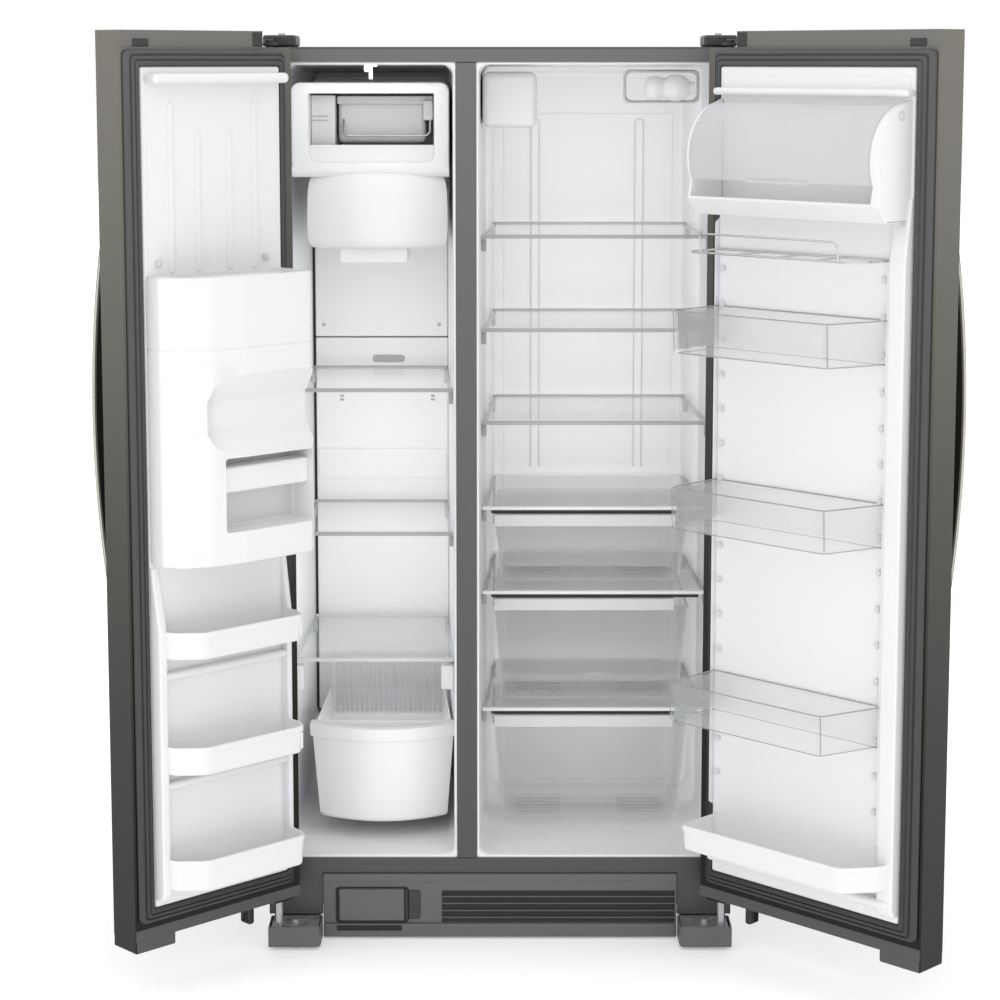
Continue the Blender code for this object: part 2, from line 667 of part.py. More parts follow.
def make_door_skin(door, liner_span, holes=()):
    """The steel skin with its end caps, and the hollow that the foam fills."""
    pan = block(
        door.span(0, door.width), (DOOR_OUTER, DOOR_INNER), (DOOR_BOTTOM, DOOR_TOP), 0.003, 1, "z"
    )
    cap = block(door.span(0, 0.09), (DOOR_OUTER + 0.002, DOOR_INNER - 0.002), (0.0863, DOOR_BOTTOM + 0.004), 0.002, 1)
    boss = block(
        door.span(door.width - 0.055, door.width - 0.006), (PIVOT_Y - 0.026, PIVOT_Y + 0.026),
        (0.100, DOOR_BOTTOM + 0.004), 0.002, 1,
    )
    hook = block(
        door.span(door.width - 0.118, door.width - 0.104), (DOOR_INNER - 0.040, DOOR_INNER - 0.012),
        (0.074, DOOR_BOTTOM + 0.004), 0.003, 1,
    )
    wall = SHEET
    pin = (door.side * PIVOT_X, PIVOT_Y)
    cuts = [
        block(door.span(wall, door.width - wall), (DOOR_OUTER + wall, DOOR_INNER - wall),
              (DOOR_BOTTOM + wall, 1.734)),
        block(door.span(*liner_span), (DOOR_INNER - 0.02, 0.1), (LINER_BOTTOM - 0.0008, LINER_TOP + 0.0008)),
        block(door.span(door.width - HINGE_NOTCH, door.width + 0.1), (-0.2, 0.1), (1.7415, 1.9)),
        rod((*pin, 0.05), (*pin, 0.14), 0.0075, 16),
        rod((*pin, 1.70), (*pin, 1.80), 0.0075, 16),
    ]
    node(f"{door.name}_skin", (STEEL, 0.35, 0.9), [pan, cap, boss, hook], [*cuts, *holes], door.body,
         (door.side * PIVOT_X, PIVOT_Y, DOOR_BOTTOM))


def make_gasket(door, hole):
    rise = (GAP, 0.0122)
    node(
        f"{door.name}_gasket", (GREY, 0.7, 0.0),
        [block(door.span(0.006, door.width - 0.024), (door.y(rise[0]), door.y(rise[1])), (0.144, 1.737), 0.002, 1)],
        [block(door.span(*hole), (-0.1, 0.1), (LINER_BOTTOM - 0.001, LINER_TOP + 0.001))],
        door.body,
    )


def make_handle(door):
    """A long bowed bar with its feet on the door's face."""
    outer = bow((DOOR_OUTER - GAP, 0.655), (DOOR_OUTER - GAP, 1.500), 0.066, 20)
    inner = bow((DOOR_OUTER - GAP, 0.700), (DOOR_OUTER - GAP, 1.455), 0.050, 16)
    x = door.span(0.022, 0.045)
    bar = prism(outer + inner[::-1], *x, axis="x")
    edges = [edge for edge in bar.edges if not runs_along(edge, 0) and edge.calc_length() < 0.2]
    bmesh.ops.bevel(bar, geom=edges, offset=0.004, segments=2, profile=0.5, affect="EDGES")
    node(f"{door.name}_handle", (STEEL, 0.3, 0.9), [bar], body=door.body)


def door_bin(door, plan, low, high, wall, shrink=0.0, name=None, look=None, extra=()):
    outline = door.plan(plan)
    middle = sum(point[0] for point in outline) / len(outline)
    origin = (middle, door.y(DOOR_LINER_FRONT), low)
    node(name, look, [tub(outline, low, high, wall, shrink), *extra], body=door.body, origin=origin)


def make_freezer_door():
    door = FREEZER
    niche_x, niche_z = (-0.345, -0.175), (1.010, 1.270)
    make_door_skin(door, (0.0365, 0.3505), [
        block((niche_x[0] - 0.0005, niche_x[1] + 0.0005), (-0.2, DOOR_OUTER + 0.01),
              (niche_z[0] - 0.0005, niche_z[1] + 0.0005)),
    ])
    make_gasket(door, (0.0365, 0.3505))
    make_handle(door)
    face = (door.y(-0.016), door.y(DOOR_LINER_FRONT))
    ledge = block(door.span(0.043, 0.338), (door.y(0.006), door.y(0.046)), (1.676, 1.6955), 0.007, 2)
    ribs = [
        rod((door.x(t), door.y(DOOR_LINER_FRONT - 0.0015), 1.350), (door.x(t), door.y(DOOR_LINER_FRONT - 0.0015), top),
            0.0045, 8)
        for t, top in ((0.075, 1.64), (0.135, 1.59), (0.205, 1.59), (0.285, 1.64))
    ]
    clips = [block(door.span(t, t + 0.008), (door.y(0.006), door.y(0.022)), (1.356, 1.368), 0.002, 1)
             for t in (0.062, 0.268)]
    shelves = [
        block(door.span(0.050, 0.335), (door.y(0.006), door.y(0.030)), (z, z + 0.012), 0.005, 2)
        for z in (0.605, 0.392)
    ]
    node("freezer_door_liner", (WHITE, 0.3, 0.0),
         [block(door.span(0.0370, 0.3500), face, (LINER_BOTTOM, LINER_TOP), 0.006, 2), ledge, *ribs, *clips, *shelves],
         [block(door.span(0.047, 0.340), (door.y(-0.05), door.y(DOOR_LINER_FRONT - 0.004)),
                (LINER_BOTTOM + 0.01, LINER_TOP - 0.01))],
         door.body)

    base = DOOR_LINER_FRONT + GAP
    plan = door.plan([
        (0.040, base), (0.040, 0.050), (0.062, 0.085), (0.110, 0.108), (0.180, 0.116),
        (0.330, 0.117), (0.343, 0.108), (0.343, base),
    ])
    low, high = 0.812, 1.337
    funnel = block(door.span(0.085, 0.300), (door.y(0.022), door.y(0.088)), (1.165, 1.5), 0.02, 2, "z")
    recess = block(door.span(0.115, 0.330), (door.y(0.066), door.y(0.3)), (0.900, 1.140), 0.012, 2)
    bar = block(door.span(0.165, 0.325), (door.y(0.060), door.y(0.088)), (1.030, 1.072), 0.006, 2)
    node("dispenser_housing", (WHITE, 0.3, 0.0), [prism(plan, low, high)], [funnel, recess], door.body)

    inner_x = (niche_x[0] + 0.003, niche_x[1] - 0.003)
    inner_z = (niche_z[0] + 0.003, niche_z[1] - 0.003)
    node(
        "dispenser_panel", (DARK, 0.3, 0.1),
        [
            block((niche_x[0] - 0.014, niche_x[1] + 0.014), (DOOR_OUTER - 0.0048, DOOR_OUTER - GAP),
                  (niche_z[0] - 0.014, 1.395), 0.0015, 1),
            block(niche_x, (DOOR_OUTER - 0.002, DOOR_INNER - 0.024), niche_z),
        ],
        [
            block(inner_x, (-0.3, DOOR_INNER - 0.027), inner_z, 0.012, 2, "y"),
            block((-0.335, -0.185), (DOOR_OUTER - 0.1, DOOR_OUTER - 0.0035), (1.295, 1.380), 0.003, 1),
        ],
        door.body,
    )
    pivot = (-0.26, -0.062, 1.238)
    node(
        "dispenser_paddle", (DARK, 0.35, 0.0),
        [
            block((-0.292, -0.228), (-0.0645, -0.0600), (1.105, 1.2365), 0.0015, 1),
            rod((-0.3412, -0.062, 1.238), (-0.1788, -0.062, 1.238), 0.0050, 12),
        ],
        body=door.body, origin=pivot,
    )
    tray = [(0.043, base), (0.056, 0.050), (0.100, 0.090), (0.325, 0.090), (0.340, 0.062), (0.340, base)]
    for name, bottom, top in (("upper", 0.640, 0.691), ("middle", 0.424, 0.477), ("lower", 0.206, 0.264)):
        door_bin(door, tray, bottom, top, 0.003, 0.0, f"{name}_freezer_door_bin", (WHITE, 0.3, 0.0))


def make_fridge_door():
    door = FRIDGE
    make_door_skin(door, (0.0415, 0.4785))
    make_gasket(door, (0.0415, 0.4785))
    make_handle(door)
    face = (door.y(-0.016), door.y(DOOR_LINER_FRONT))
    rim = [
        block(door.span(0.0425, 0.4775), (door.y(0.006), door.y(0.034)), (1.655, 1.668), 0.005, 2),
        block(door.span(0.0425, 0.072), (door.y(0.006), door.y(0.030)), (0.30, 1.48), 0.007, 2),
    ]
    pegs = [
        rod((door.x(0.462), door.y(0.008), z), (door.x(0.462), door.y(0.020), z), 0.006, 10)
        for z in (1.335, 1.135, 1.071, 1.006, 0.811, 0.745, 0.437, 0.383)
    ]
    low, high = 1.438, 1.650
    base = DOOR_LINER_FRONT - 0.002
    side_profile = [(door.y(base), low), (door.y(0.080), low), (door.y(0.106), low + 0.030),
                    *arc((door.y(0.010), 1.545), 0.0990, -26, 78, 8), (door.y(base), high)]
    ends = []
    for near, far in ((0.048, 0.066), (0.468, 0.4745)):
        ends.append(prism(side_profile, *door.span(near, far), axis="x"))
    floor = block(door.span(0.048, 0.4745), (door.y(base), door.y(0.080)), (low, low + 0.004))
    lip = prism([(door.y(0.074), low), (door.y(0.080), low), (door.y(0.106), low + 0.030),
                 (door.y(0.103), low + 0.0345), (door.y(0.100), low + 0.033)], *door.span(0.048, 0.4745), axis="x")
    node("fridge_door_liner", (WHITE, 0.3, 0.0),
         [block(door.span(0.0420, 0.4780), face, (LINER_BOTTOM, LINER_TOP), 0.006, 2), *rim, *pegs, floor, lip, *ends],
         [block(door.span(0.052, 0.468), (door.y(-0.05), door.y(DOOR_LINER_FRONT - 0.004)),
                (LINER_BOTTOM + 0.01, LINER_TOP - 0.01))],
         door.body)
    base = DOOR_LINER_FRONT + GAP
    visor = arc((door.y(0.010), 1.545), 0.1030, -24, 72, 10)
    visor += arc((door.y(0.010), 1.545), 0.1003, 72, -24, 10)
    pivot = (door.x(0.267), door.y(0.0415), 1.6430)
    node("dairy_lid", (CLEAR, 0.1, 0.0), [prism(visor, *door.span(0.0665, 0.4675), axis="x")],
         body=door.body, origin=pivot)

    peg_z = 1.3700
    loop = [
        (door.x(0.470), door.y(base + 0.003), peg_z), (door.x(0.470), door.y(0.105), peg_z),
        (door.x(0.110), door.y(0.105), peg_z), (door.x(0.085), door.y(0.080), peg_z),
        (door.x(0.085), door.y(base + 0.003), peg_z),
    ]
    guard = [
        (door.x(0.440), door.y(0.105), peg_z), (door.x(0.440), door.y(0.112), peg_z + 0.035),
        (door.x(0.130), door.y(0.112), peg_z + 0.035), (door.x(0.130), door.y(0.105), peg_z),
    ]
    bars = [
        wire([(door.x(t), door.y(base + 0.003), peg_z), (door.x(t), door.y(0.106), peg_z)], 0.0018)
        for t in (0.36, 0.27, 0.18)
    ]
    rear = wire([(door.x(0.472), door.y(base + 0.004), peg_z), (door.x(0.083), door.y(base + 0.004), peg_z)], 0.0022)
    node("wire_rack", (METAL, 0.2, 1.0), [wire(loop, 0.0022), wire(guard, 0.0018), rear, *bars], body=door.body)

    plan = [(0.080, base), (0.120, 0.148), (0.4745, 0.148), (0.4745, base)]
    for name, low, high in (("upper", 1.183, 1.265), ("middle", 0.855, 0.937), ("lower", 0.490, 0.568)):
        door_bin(door, plan, low, high, 0.0025, 0.006, f"{name}_fridge_door_bin", (CLEAR, 0.1, 0.0))
    plan = [(0.047, base), (0.060, 0.050), (0.102, 0.107), (0.4745, 0.107), (0.4745, base)]
    door_bin(door, plan, 0.235, 0.284, 0.003, 0.0, "bottom_fridge_door_bin", (WHITE, 0.3, 0.0))


make_cabinet()
make_base()
make_machinery()
make_freezer()
make_ice_maker()
make_fridge()
make_freezer_door()
make_fridge_door()
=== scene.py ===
"""Side by side refrigerator with both doors open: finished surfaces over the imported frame.

Shapes are written in the cabinet's own frame with the doors closed (x = 0 at the middle of the cabinet,
y = 0 on its front flange, z = 0 on the floor), then placed with the cabinet or with the door they ride.
"""

import math

import bmesh
import bpy
from mathutils import Matrix, Vector


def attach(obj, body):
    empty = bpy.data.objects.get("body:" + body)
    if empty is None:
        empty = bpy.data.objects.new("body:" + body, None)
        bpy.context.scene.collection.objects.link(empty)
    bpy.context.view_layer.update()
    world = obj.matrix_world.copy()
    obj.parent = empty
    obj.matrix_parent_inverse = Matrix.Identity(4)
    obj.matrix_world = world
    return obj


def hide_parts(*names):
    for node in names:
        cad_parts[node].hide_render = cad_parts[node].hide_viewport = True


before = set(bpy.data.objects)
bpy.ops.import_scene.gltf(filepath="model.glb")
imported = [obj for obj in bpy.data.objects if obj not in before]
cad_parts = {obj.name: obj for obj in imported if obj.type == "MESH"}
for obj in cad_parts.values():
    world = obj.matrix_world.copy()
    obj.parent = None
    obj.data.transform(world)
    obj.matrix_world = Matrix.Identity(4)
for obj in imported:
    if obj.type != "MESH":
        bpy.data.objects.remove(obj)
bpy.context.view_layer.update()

# Driving dimensions, as in the part
BOX_CENTRE = (0.0446, 0.12)
HALF = 0.454
CABINET_TOP, CABINET_DEPTH = 1.743, 0.705
FREEZER_OPENING, FRIDGE_OPENING = (-0.4255, -0.0835), (-0.0455, 0.4255)
OPENING_BOTTOM, OPENING_TOP = 0.164, 1.7144
LINER_FRONT, LINER_BACK, SIDE_TAPER = 0.0043, 0.625, 0.031
DOOR_INNER, DOOR_OUTER = -0.013, -0.088
DOOR_TOP = 1.7706
FREEZER_FREE, FRIDGE_FREE = -0.0675, -0.0615
PIVOT = (0.43, -0.05)
FREEZER_OPEN, FRIDGE_OPEN = 136.5, 135.5
LINER_BOTTOM, LINER_TOP, HINGE_NOTCH = 0.17, 1.707, 0.068
GLASS_SHELVES = (("upper_glass_shelf", 1.3772), ("middle_glass_shelf", 1.1923), ("lower_glass_shelf", 1.0073))
DRAWER_COVERS = (("deli_cover", 0.8365), ("crisper_cover", 0.6657), ("lower_crisper_cover", 0.4262))
FREEZER_SHELVES = (("upper_freezer_shelf", 1.073, 0.15), ("lower_freezer_shelf", 0.784, 0.15),
                   ("freezer_drawer_cover", 0.5333, 0.125))
WHITE_BINS = (("upper", 0.64, 0.691), ("middle", 0.424, 0.477), ("lower", 0.206, 0.264))
CLEAR_BINS = (("upper", 1.183, 1.265), ("middle", 0.855, 0.937), ("lower", 0.49, 0.568))
HOUSING_LOW, HOUSING_HIGH = 0.8125, 1.3365
DAIRY_LOW, DAIRY_HIGH, DAIRY_AXIS = 1.4385, 1.6495, (0.01, 1.545)
RACK_HEIGHT = 1.37
HANDLE_LOW, HANDLE_HIGH = 0.655, 1.5

CAMERA_DISTANCE, CAMERA_HEIGHT, CAMERA_TILT = 4.8, 1.7173, 82.5
LENS, SHIFT = 88.7, -0.115

pieces = bpy.data.collections.new("visual")
bpy.context.scene.collection.children.link(pieces)


# --- placing ---------------------------------------------------------------------------------------

CABINET = Matrix.Translation((-BOX_CENTRE[0], -BOX_CENTRE[1], 0.0))


def hung(side, degrees):
    """Where a door that is drawn closed stands when it is open."""
    pivot = Vector((side * PIVOT[0], PIVOT[1], 0.0))
    turn = Matrix.Rotation(math.radians(side * degrees), 4, "Z")
    return CABINET @ Matrix.Translation(pivot) @ turn @ Matrix.Translation(-pivot)


FREEZER_PLACE, FRIDGE_PLACE = hung(-1, FREEZER_OPEN), hung(1, FRIDGE_OPEN)
PLACES = {
    "freezer_door": FREEZER_PLACE, "dispenser_paddle": FREEZER_PLACE,
    "fridge_door": FRIDGE_PLACE, "dairy_lid": FRIDGE_PLACE, "upper_door_bin": FRIDGE_PLACE,
    "middle_door_bin": FRIDGE_PLACE, "lower_door_bin": FRIDGE_PLACE,
}


class Door:
    """Places on a closed door: across runs from its free edge to the hinge, rise inward from its face."""

    def __init__(self, name, free, side):
        self.name, self.free, self.side = name, free, side
        self.width = abs(side * HALF - free)

    def x(self, across):
        return self.free + self.side * across

    def span(self, near, far):
        return tuple(sorted((self.x(near), self.x(far))))

    def y(self, rise):
        return DOOR_INNER + rise

    def plan(self, points):
        return [(self.x(across), self.y(rise)) for across, rise in points]

    def path(self, points):
        return [(self.x(across), self.y(rise), z) for across, rise, z in points]


FREEZER, FRIDGE = Door("freezer_door", FREEZER_FREE, -1), Door("fridge_door", FRIDGE_FREE, 1)


# --- shapes ----------------------------------------------------------------------------------------


def shape(points, faces):
    mesh = bmesh.new()
    verts = [mesh.verts.new(point) for point in points]
    for face in faces:
        mesh.faces.new([verts[i] for i in face])
    bmesh.ops.recalc_face_normals(mesh, faces=mesh.faces)
    return mesh


def soften(mesh, width, segments=3, limit=30.0):
    """Rounds every edge sharper than the limit."""
    if width:
        mesh.edges.ensure_lookup_table()
        least = math.radians(limit)
        sharp = [e for e in mesh.edges if len(e.link_faces) == 2 and e.calc_face_angle() > least]
        bmesh.ops.bevel(mesh, geom=sharp, offset=width, segments=segments, profile=0.5, affect="EDGES",
                        clamp_overlap=True)
    return mesh


def block(x, y, z, radius=0.001, segments=2):
    corners = [(a, b, c) for c in z for b in y for a in x]
    faces = [(0, 2, 3, 1), (4, 5, 7, 6), (0, 1, 5, 4), (2, 6, 7, 3), (0, 4, 6, 2), (1, 3, 7, 5)]
    return soften(shape(corners, faces), radius, segments)


def loft(rings, closed=True, caps=True):
    """A skin through rings with the same number of points."""
    count = len(rings[0])
    points = [point for ring in rings for point in ring]
    steps = range(count if closed else count - 1)
    faces = [
        (k * count + i, k * count + (i + 1) % count, (k + 1) * count + (i + 1) % count, (k + 1) * count + i)
        for k in range(len(rings) - 1) for i in steps
    ]
    if caps:
        faces += [tuple(range(count))[::-1], tuple(range((len(rings) - 1) * count, len(rings) * count))]
    return shape(points, faces)


ORDER = {"z": (0, 1, 2), "x": (2, 0, 1), "y": (0, 2, 1)}


def prism(outline, low, high, axis="z", radius=0.0, segments=2, limit=30.0):
    """A plan outline raised along an axis; an x outline holds (y, z) and a y outline (x, z)."""
    order = ORDER[axis]
    rings = []
    for level in (low, high):
        triples = [(a, b, level) for a, b in outline]
        rings.append([tuple(t[i] for i in order) for t in triples])
    return soften(loft(rings), radius, segments, limit)


def arc(centre, radius, start, end, steps):
    angles = [math.radians(start + (end - start) * i / steps) for i in range(steps + 1)]
    return [(centre[0] + radius * math.cos(a), centre[1] + radius * math.sin(a)) for a in angles]


def rounded(corners, radius, steps=5, closed=True):
    """The corners of an outline or path turned into arcs; radius is one number or one for each corner."""
    corners = [Vector(corner) for corner in corners]
    radii = radius if isinstance(radius, (list, tuple)) else [radius] * len(corners)
    result = []
    for i, here in enumerate(corners):
        if radii[i] <= 0 or (not closed and i in (0, len(corners) - 1)):
            result.append(tuple(here))
            continue
        before, after = corners[i - 1] - here, corners[(i + 1) % len(corners)] - here
        a, b = before.normalized(), after.normalized()
        half = a.angle(b) / 2
        if half > math.radians(89):
            result.append(tuple(here))
            continue
        reach = min(radii[i] / math.tan(half), before.length * 0.49, after.length * 0.49)
        centre = here + (a + b).normalized() * (reach / math.cos(half))
        start, end = here + a * reach - centre, here + b * reach - centre
        angle = start.angle(end)
        for k in range(steps + 1):
            s = k / steps
            turn = (math.sin((1 - s) * angle) * start + math.sin(s * angle) * end) / math.sin(angle)
            result.append(tuple(centre + turn))
    return result


def area(outline):
    pairs = zip(outline, outline[1:] + outline[:1])
    return sum(a[0] * b[1] - b[0] * a[1] for a, b in pairs) / 2


def inset(outline, distance):
    """The outline moved inwards, point by point, along the mean of its two edge normals."""
    turn = 1 if area(outline) > 0 else -1
    moved = []
    for i, here in enumerate(outline):
        before = Vector(here) - Vector(outline[i - 1])
        after = Vector(outline[(i + 1) % len(outline)]) - Vector(here)
        normals = [Vector((-d.y, d.x)).normalized() * turn for d in (before, after) if d.length > 1e-9]
        mean = sum(normals, Vector((0.0, 0.0))).normalized()
        stretch = max(0.5, mean.dot(normals[-1]))
        moved.append(tuple(Vector(here) + mean * (distance / stretch)))
    return moved


def at(outline, z):
    return [(x, y, z) for x, y in outline]


def shrunk(outline, distance):
    """The outline drawn in on all four sides of its box, which keeps its corners from crossing."""
    moved = []
    for values in zip(*outline):
        middle, size = (min(values) + max(values)) / 2, max(values) - min(values)
        moved.append([middle + (value - middle) * (1 - 2 * distance / size) for value in values])
    return list(zip(*moved))


def tub(outline, low, high, wall=0.0025, taper=0.0, floor_radius=0.006, lip=0.0, lip_height=0.006):
    """An open-topped tray with a rounded floor, a sloping wall and, if asked, a turned-out rim."""
    rings = [at(shrunk(outline, taper + floor_radius + 0.002), low)]
    for angle in (0, 30, 60, 90):
        a = math.radians(angle)
        rings.append(at(shrunk(outline, taper + floor_radius * (1 - math.sin(a))),
                        low + floor_radius * (1 - math.cos(a))))
    if lip:
        share = 1 - lip_height / (high - low)
        rings.append(at(shrunk(outline, taper * (1 - share)), high - lip_height))
        rings.append(at(shrunk(outline, -lip), high - lip_height))
        rings.append(at(shrunk(outline, -lip), high - 0.001))
        rings.append(at(shrunk(outline, -lip + 0.001), high))
    else:
        rings.append(at(outline, high - 0.0006))
        rings.append(at(shrunk(outline, 0.0006), high))
    rings.append(at(shrunk(outline, wall), high))
    rings.append(at(shrunk(outline, taper + wall), low + floor_radius))
    rings.append(at(shrunk(outline, taper + wall + floor_radius * 0.6), low + wall))
    rings.append(at(shrunk(outline, taper + wall + floor_radius * 0.6 + 0.002), low + wall))
    return loft(rings)


def frames(path, closed):
    """Steadily turning axes along a path."""
    count = len(path)
    tangents = []
    for i in range(count):
        before = path[i] - path[i - 1] if closed or i else path[1] - path[0]
        after = path[(i + 1) % count] - path[i] if closed or i < count - 1 else before
        tangents.append((before.normalized() + after.normalized()).normalized())
    across = tangents[0].orthogonal().normalized()
    result = []
    for tangent in tangents:
        across = (across - tangent * across.dot(tangent)).normalized()
        result.append((across, tangent.cross(across)))
    return result


def tube(points, radius, sides=10, closed=False, bend=0.0):
    """A round wire along a path, with its corners bent to a radius."""
    if bend:
        points = rounded(points, bend, 4, closed)
    path = [Vector(point) for point in points]
    rings = []
    for here, (across, up) in zip(path, frames(path, closed)):
        angles = [math.tau * k / sides for k in range(sides)]
        rings.append([tuple(here + across * radius * math.cos(a) + up * radius * math.sin(a)) for a in angles])
    if closed:
        rings.append(rings[0])
    mesh = loft(rings, caps=not closed)
    bmesh.ops.remove_doubles(mesh, verts=mesh.verts, dist=1e-6)
    return mesh


def sheet(grid, thickness):
    """A thin curved sheet through a grid of points."""
    rows, columns = len(grid), len(grid[0])
    points = [point for row in grid for point in row]
    faces = [
        (r * columns + c, r * columns + c + 1, (r + 1) * columns + c + 1, (r + 1) * columns + c)
        for r in range(rows - 1) for c in range(columns - 1)
    ]
    mesh = shape(points, faces)
    bmesh.ops.solidify(mesh, geom=mesh.faces[:], thickness=thickness)
    return mesh


def turned(profile, base, way, steps=24):
    """A profile of (radius, height) spun about an axis."""
    mesh = bmesh.new()
    verts = [mesh.verts.new((r, 0.0, h)) for r, h in profile]
    edges = [mesh.edges.new(pair) for pair in zip(verts, verts[1:])]
    bmesh.ops.spin(mesh, geom=verts + edges, cent=(0, 0, 0), axis=(0, 0, 1), angle=math.tau, steps=steps,
                   use_merge=True)
    bmesh.ops.remove_doubles(mesh, verts=mesh.verts, dist=1e-6)
    bmesh.ops.recalc_face_normals(mesh, faces=mesh.faces)
    aim = Vector(way).to_track_quat("Z", "Y").to_matrix().to_4x4()
    bmesh.ops.transform(mesh, matrix=Matrix.Translation(base) @ aim, verts=mesh.verts)
    return mesh


def screw_head(base, way, radius=0.004):
    """A low domed screw head."""
    profile = [(0, 0.5), (0.5, 0.45), (0.9, 0.2), (1.0, 0), (0, 0)]
    return turned([(r * radius, h * radius) for r, h in profile], base, way, 14)


# --- finishes --------------------------------------------------------------------------------------


class Nodes:
    """A material's node tree, with short calls for the nodes used here."""

    def __init__(self, name, colour, roughness, metallic=0.0, **sockets):
        self.material = bpy.data.materials.new(name)
        self.material.use_nodes = True
        self.tree = self.material.node_tree
        self.shader = self.tree.nodes["Principled BSDF"]
        self.set(self.shader, **{"Base Color": (*colour, 1.0), "Roughness": roughness, "Metallic": metallic})
        self.set(self.shader, **sockets)
        self.place = self.add("ShaderNodeTexCoord").outputs["Object"]

    def add(self, kind, **settings):
        node = self.tree.nodes.new(kind)
        for key, value in settings.items():
            setattr(node, key, value)
        return node

    def set(self, node, **sockets):
        for key, value in sockets.items():
            node.inputs[key].default_value = value

    def link(self, source, target):
        self.tree.links.new(source, target)

    def stretched(self, scale):
        mapping = self.add("ShaderNodeMapping")
        self.link(self.place, mapping.inputs["Vector"])
        mapping.inputs["Scale"].default_value = scale
        return mapping.outputs["Vector"]

    def noise(self, scale, detail=3.0, stretch=None):
        node = self.add("ShaderNodeTexNoise")
        self.set(node, Scale=scale, Detail=detail)
        self.link(self.stretched(stretch) if stretch else self.place, node.inputs["Vector"])
        return node.outputs["Fac"]

    def spread(self, value, low, high, start=0.0, end=1.0):
        node = self.add("ShaderNodeMapRange")
        self.link(value, node.inputs["Value"])
        for key, number in (("From Min", start), ("From Max", end), ("To Min", low), ("To Max", high)):
            node.inputs[key].default_value = number
        return node.outputs["Result"]

    def tint(self, value, dark, light, middle=None):
        """Base colour between two shades by a value from 0 to 1, with or without one halfway."""
        ramp = self.add("ShaderNodeValToRGB")
        ramp.color_ramp.elements[0].color, ramp.color_ramp.elements[1].color = (*dark, 1.0), (*light, 1.0)
        if middle:
            ramp.color_ramp.elements.new(0.5).color = (*middle, 1.0)
            ramp.color_ramp.interpolation = "B_SPLINE"
        self.link(value, ramp.inputs["Fac"])
        self.link(ramp.outputs["Color"], self.shader.inputs["Base Color"])

    def rough(self, value, low, high):
        self.link(self.spread(value, low, high, 0.3, 0.7), self.shader.inputs["Roughness"])

    def bump(self, value, distance, strength=1.0):
        node = self.add("ShaderNodeBump")
        self.set(node, Strength=strength, Distance=distance)
        self.link(value, node.inputs["Height"])
        self.link(node.outputs["Normal"], self.shader.inputs["Normal"])

    def height(self):
        """How high a point stands on the object, from 0 at the floor to 1 at the top; the steel looks use it to
        paint shade that darkens them towards the floor.
        """
        split = self.add("ShaderNodeSeparateXYZ")
        self.link(self.add("ShaderNodeNewGeometry").outputs["Position"], split.inputs["Vector"])
        return self.spread(split.outputs["Z"], 0.0, 1.0, 0.0, DOOR_TOP)


def shaded(colour, factor):
    return tuple(channel * factor for channel in colour)


def plastic(name, colour, roughness=0.3, grain=900.0, depth=0.00004, **sockets):
    """Moulded plastic: a faint orange peel, and a sheen that varies a little."""
    nodes = Nodes(name, colour, roughness, **sockets)
    nodes.bump(nodes.noise(grain), depth, 0.35)
    wear = nodes.noise(9.0, 4.0)
    nodes.rough(wear, roughness * 0.98, roughness * 1.02)
    nodes.tint(wear, shaded(colour, 0.992), colour)
    return nodes.material


def steel(name, top, bottom, roughness, metallic, stretch=(3.0, 3.0, 260.0)):
    """Coated sheet with fine brush lines, and a painted shade that makes it darker towards the floor."""
    nodes = Nodes(name, top, roughness, metallic)
    lines = nodes.noise(4.0, 6.0, stretch)
    nodes.bump(lines, 0.00003, 0.25)
    nodes.rough(lines, roughness * 0.8, roughness * 1.25)
    # Painted shade by height: the base colour runs from the shaded bottom colour at the floor up to the lit top
    # colour.
    nodes.tint(nodes.height(), bottom, top, tuple(math.sqrt(a * b) for a, b in zip(bottom, top)))
    return nodes.material


def clear(name, colour, low, high, roughness=0.08):
    """Clear plastic or glass: it lets more through where it is seen square on."""
    nodes = Nodes(name, colour, roughness, IOR=1.5)
    facing = nodes.add("ShaderNodeLayerWeight")
    nodes.set(facing, Blend=0.35)
    nodes.link(nodes.spread(facing.outputs["Facing"], low, high), nodes.shader.inputs["Alpha"])
    nodes.bump(nodes.noise(160.0, 2.0), 0.00003, 0.15)
    return nodes.material


def spangled(name, colour):
    """Zinc crystals on galvanised sheet."""
    nodes = Nodes(name, colour, 0.45, 0.85)
    cells = nodes.add("ShaderNodeTexVoronoi")
    nodes.set(cells, Scale=90.0)
    nodes.link(nodes.place, cells.inputs["Vector"])
    grey = nodes.add("ShaderNodeRGBToBW")
    nodes.link(cells.outputs["Color"], grey.inputs["Color"])
    nodes.tint(grey.outputs["Val"], shaded(colour, 0.75), shaded(colour, 1.05))
    nodes.rough(grey.outputs["Val"], 0.35, 0.6)
    return nodes.material


def foam(name, colour):
    nodes = Nodes(name, colour, 0.9)
    nodes.bump(nodes.noise(300.0, 6.0), 0.0008, 0.7)
    nodes.tint(nodes.noise(40.0), shaded(colour, 0.85), colour)
    return nodes.material


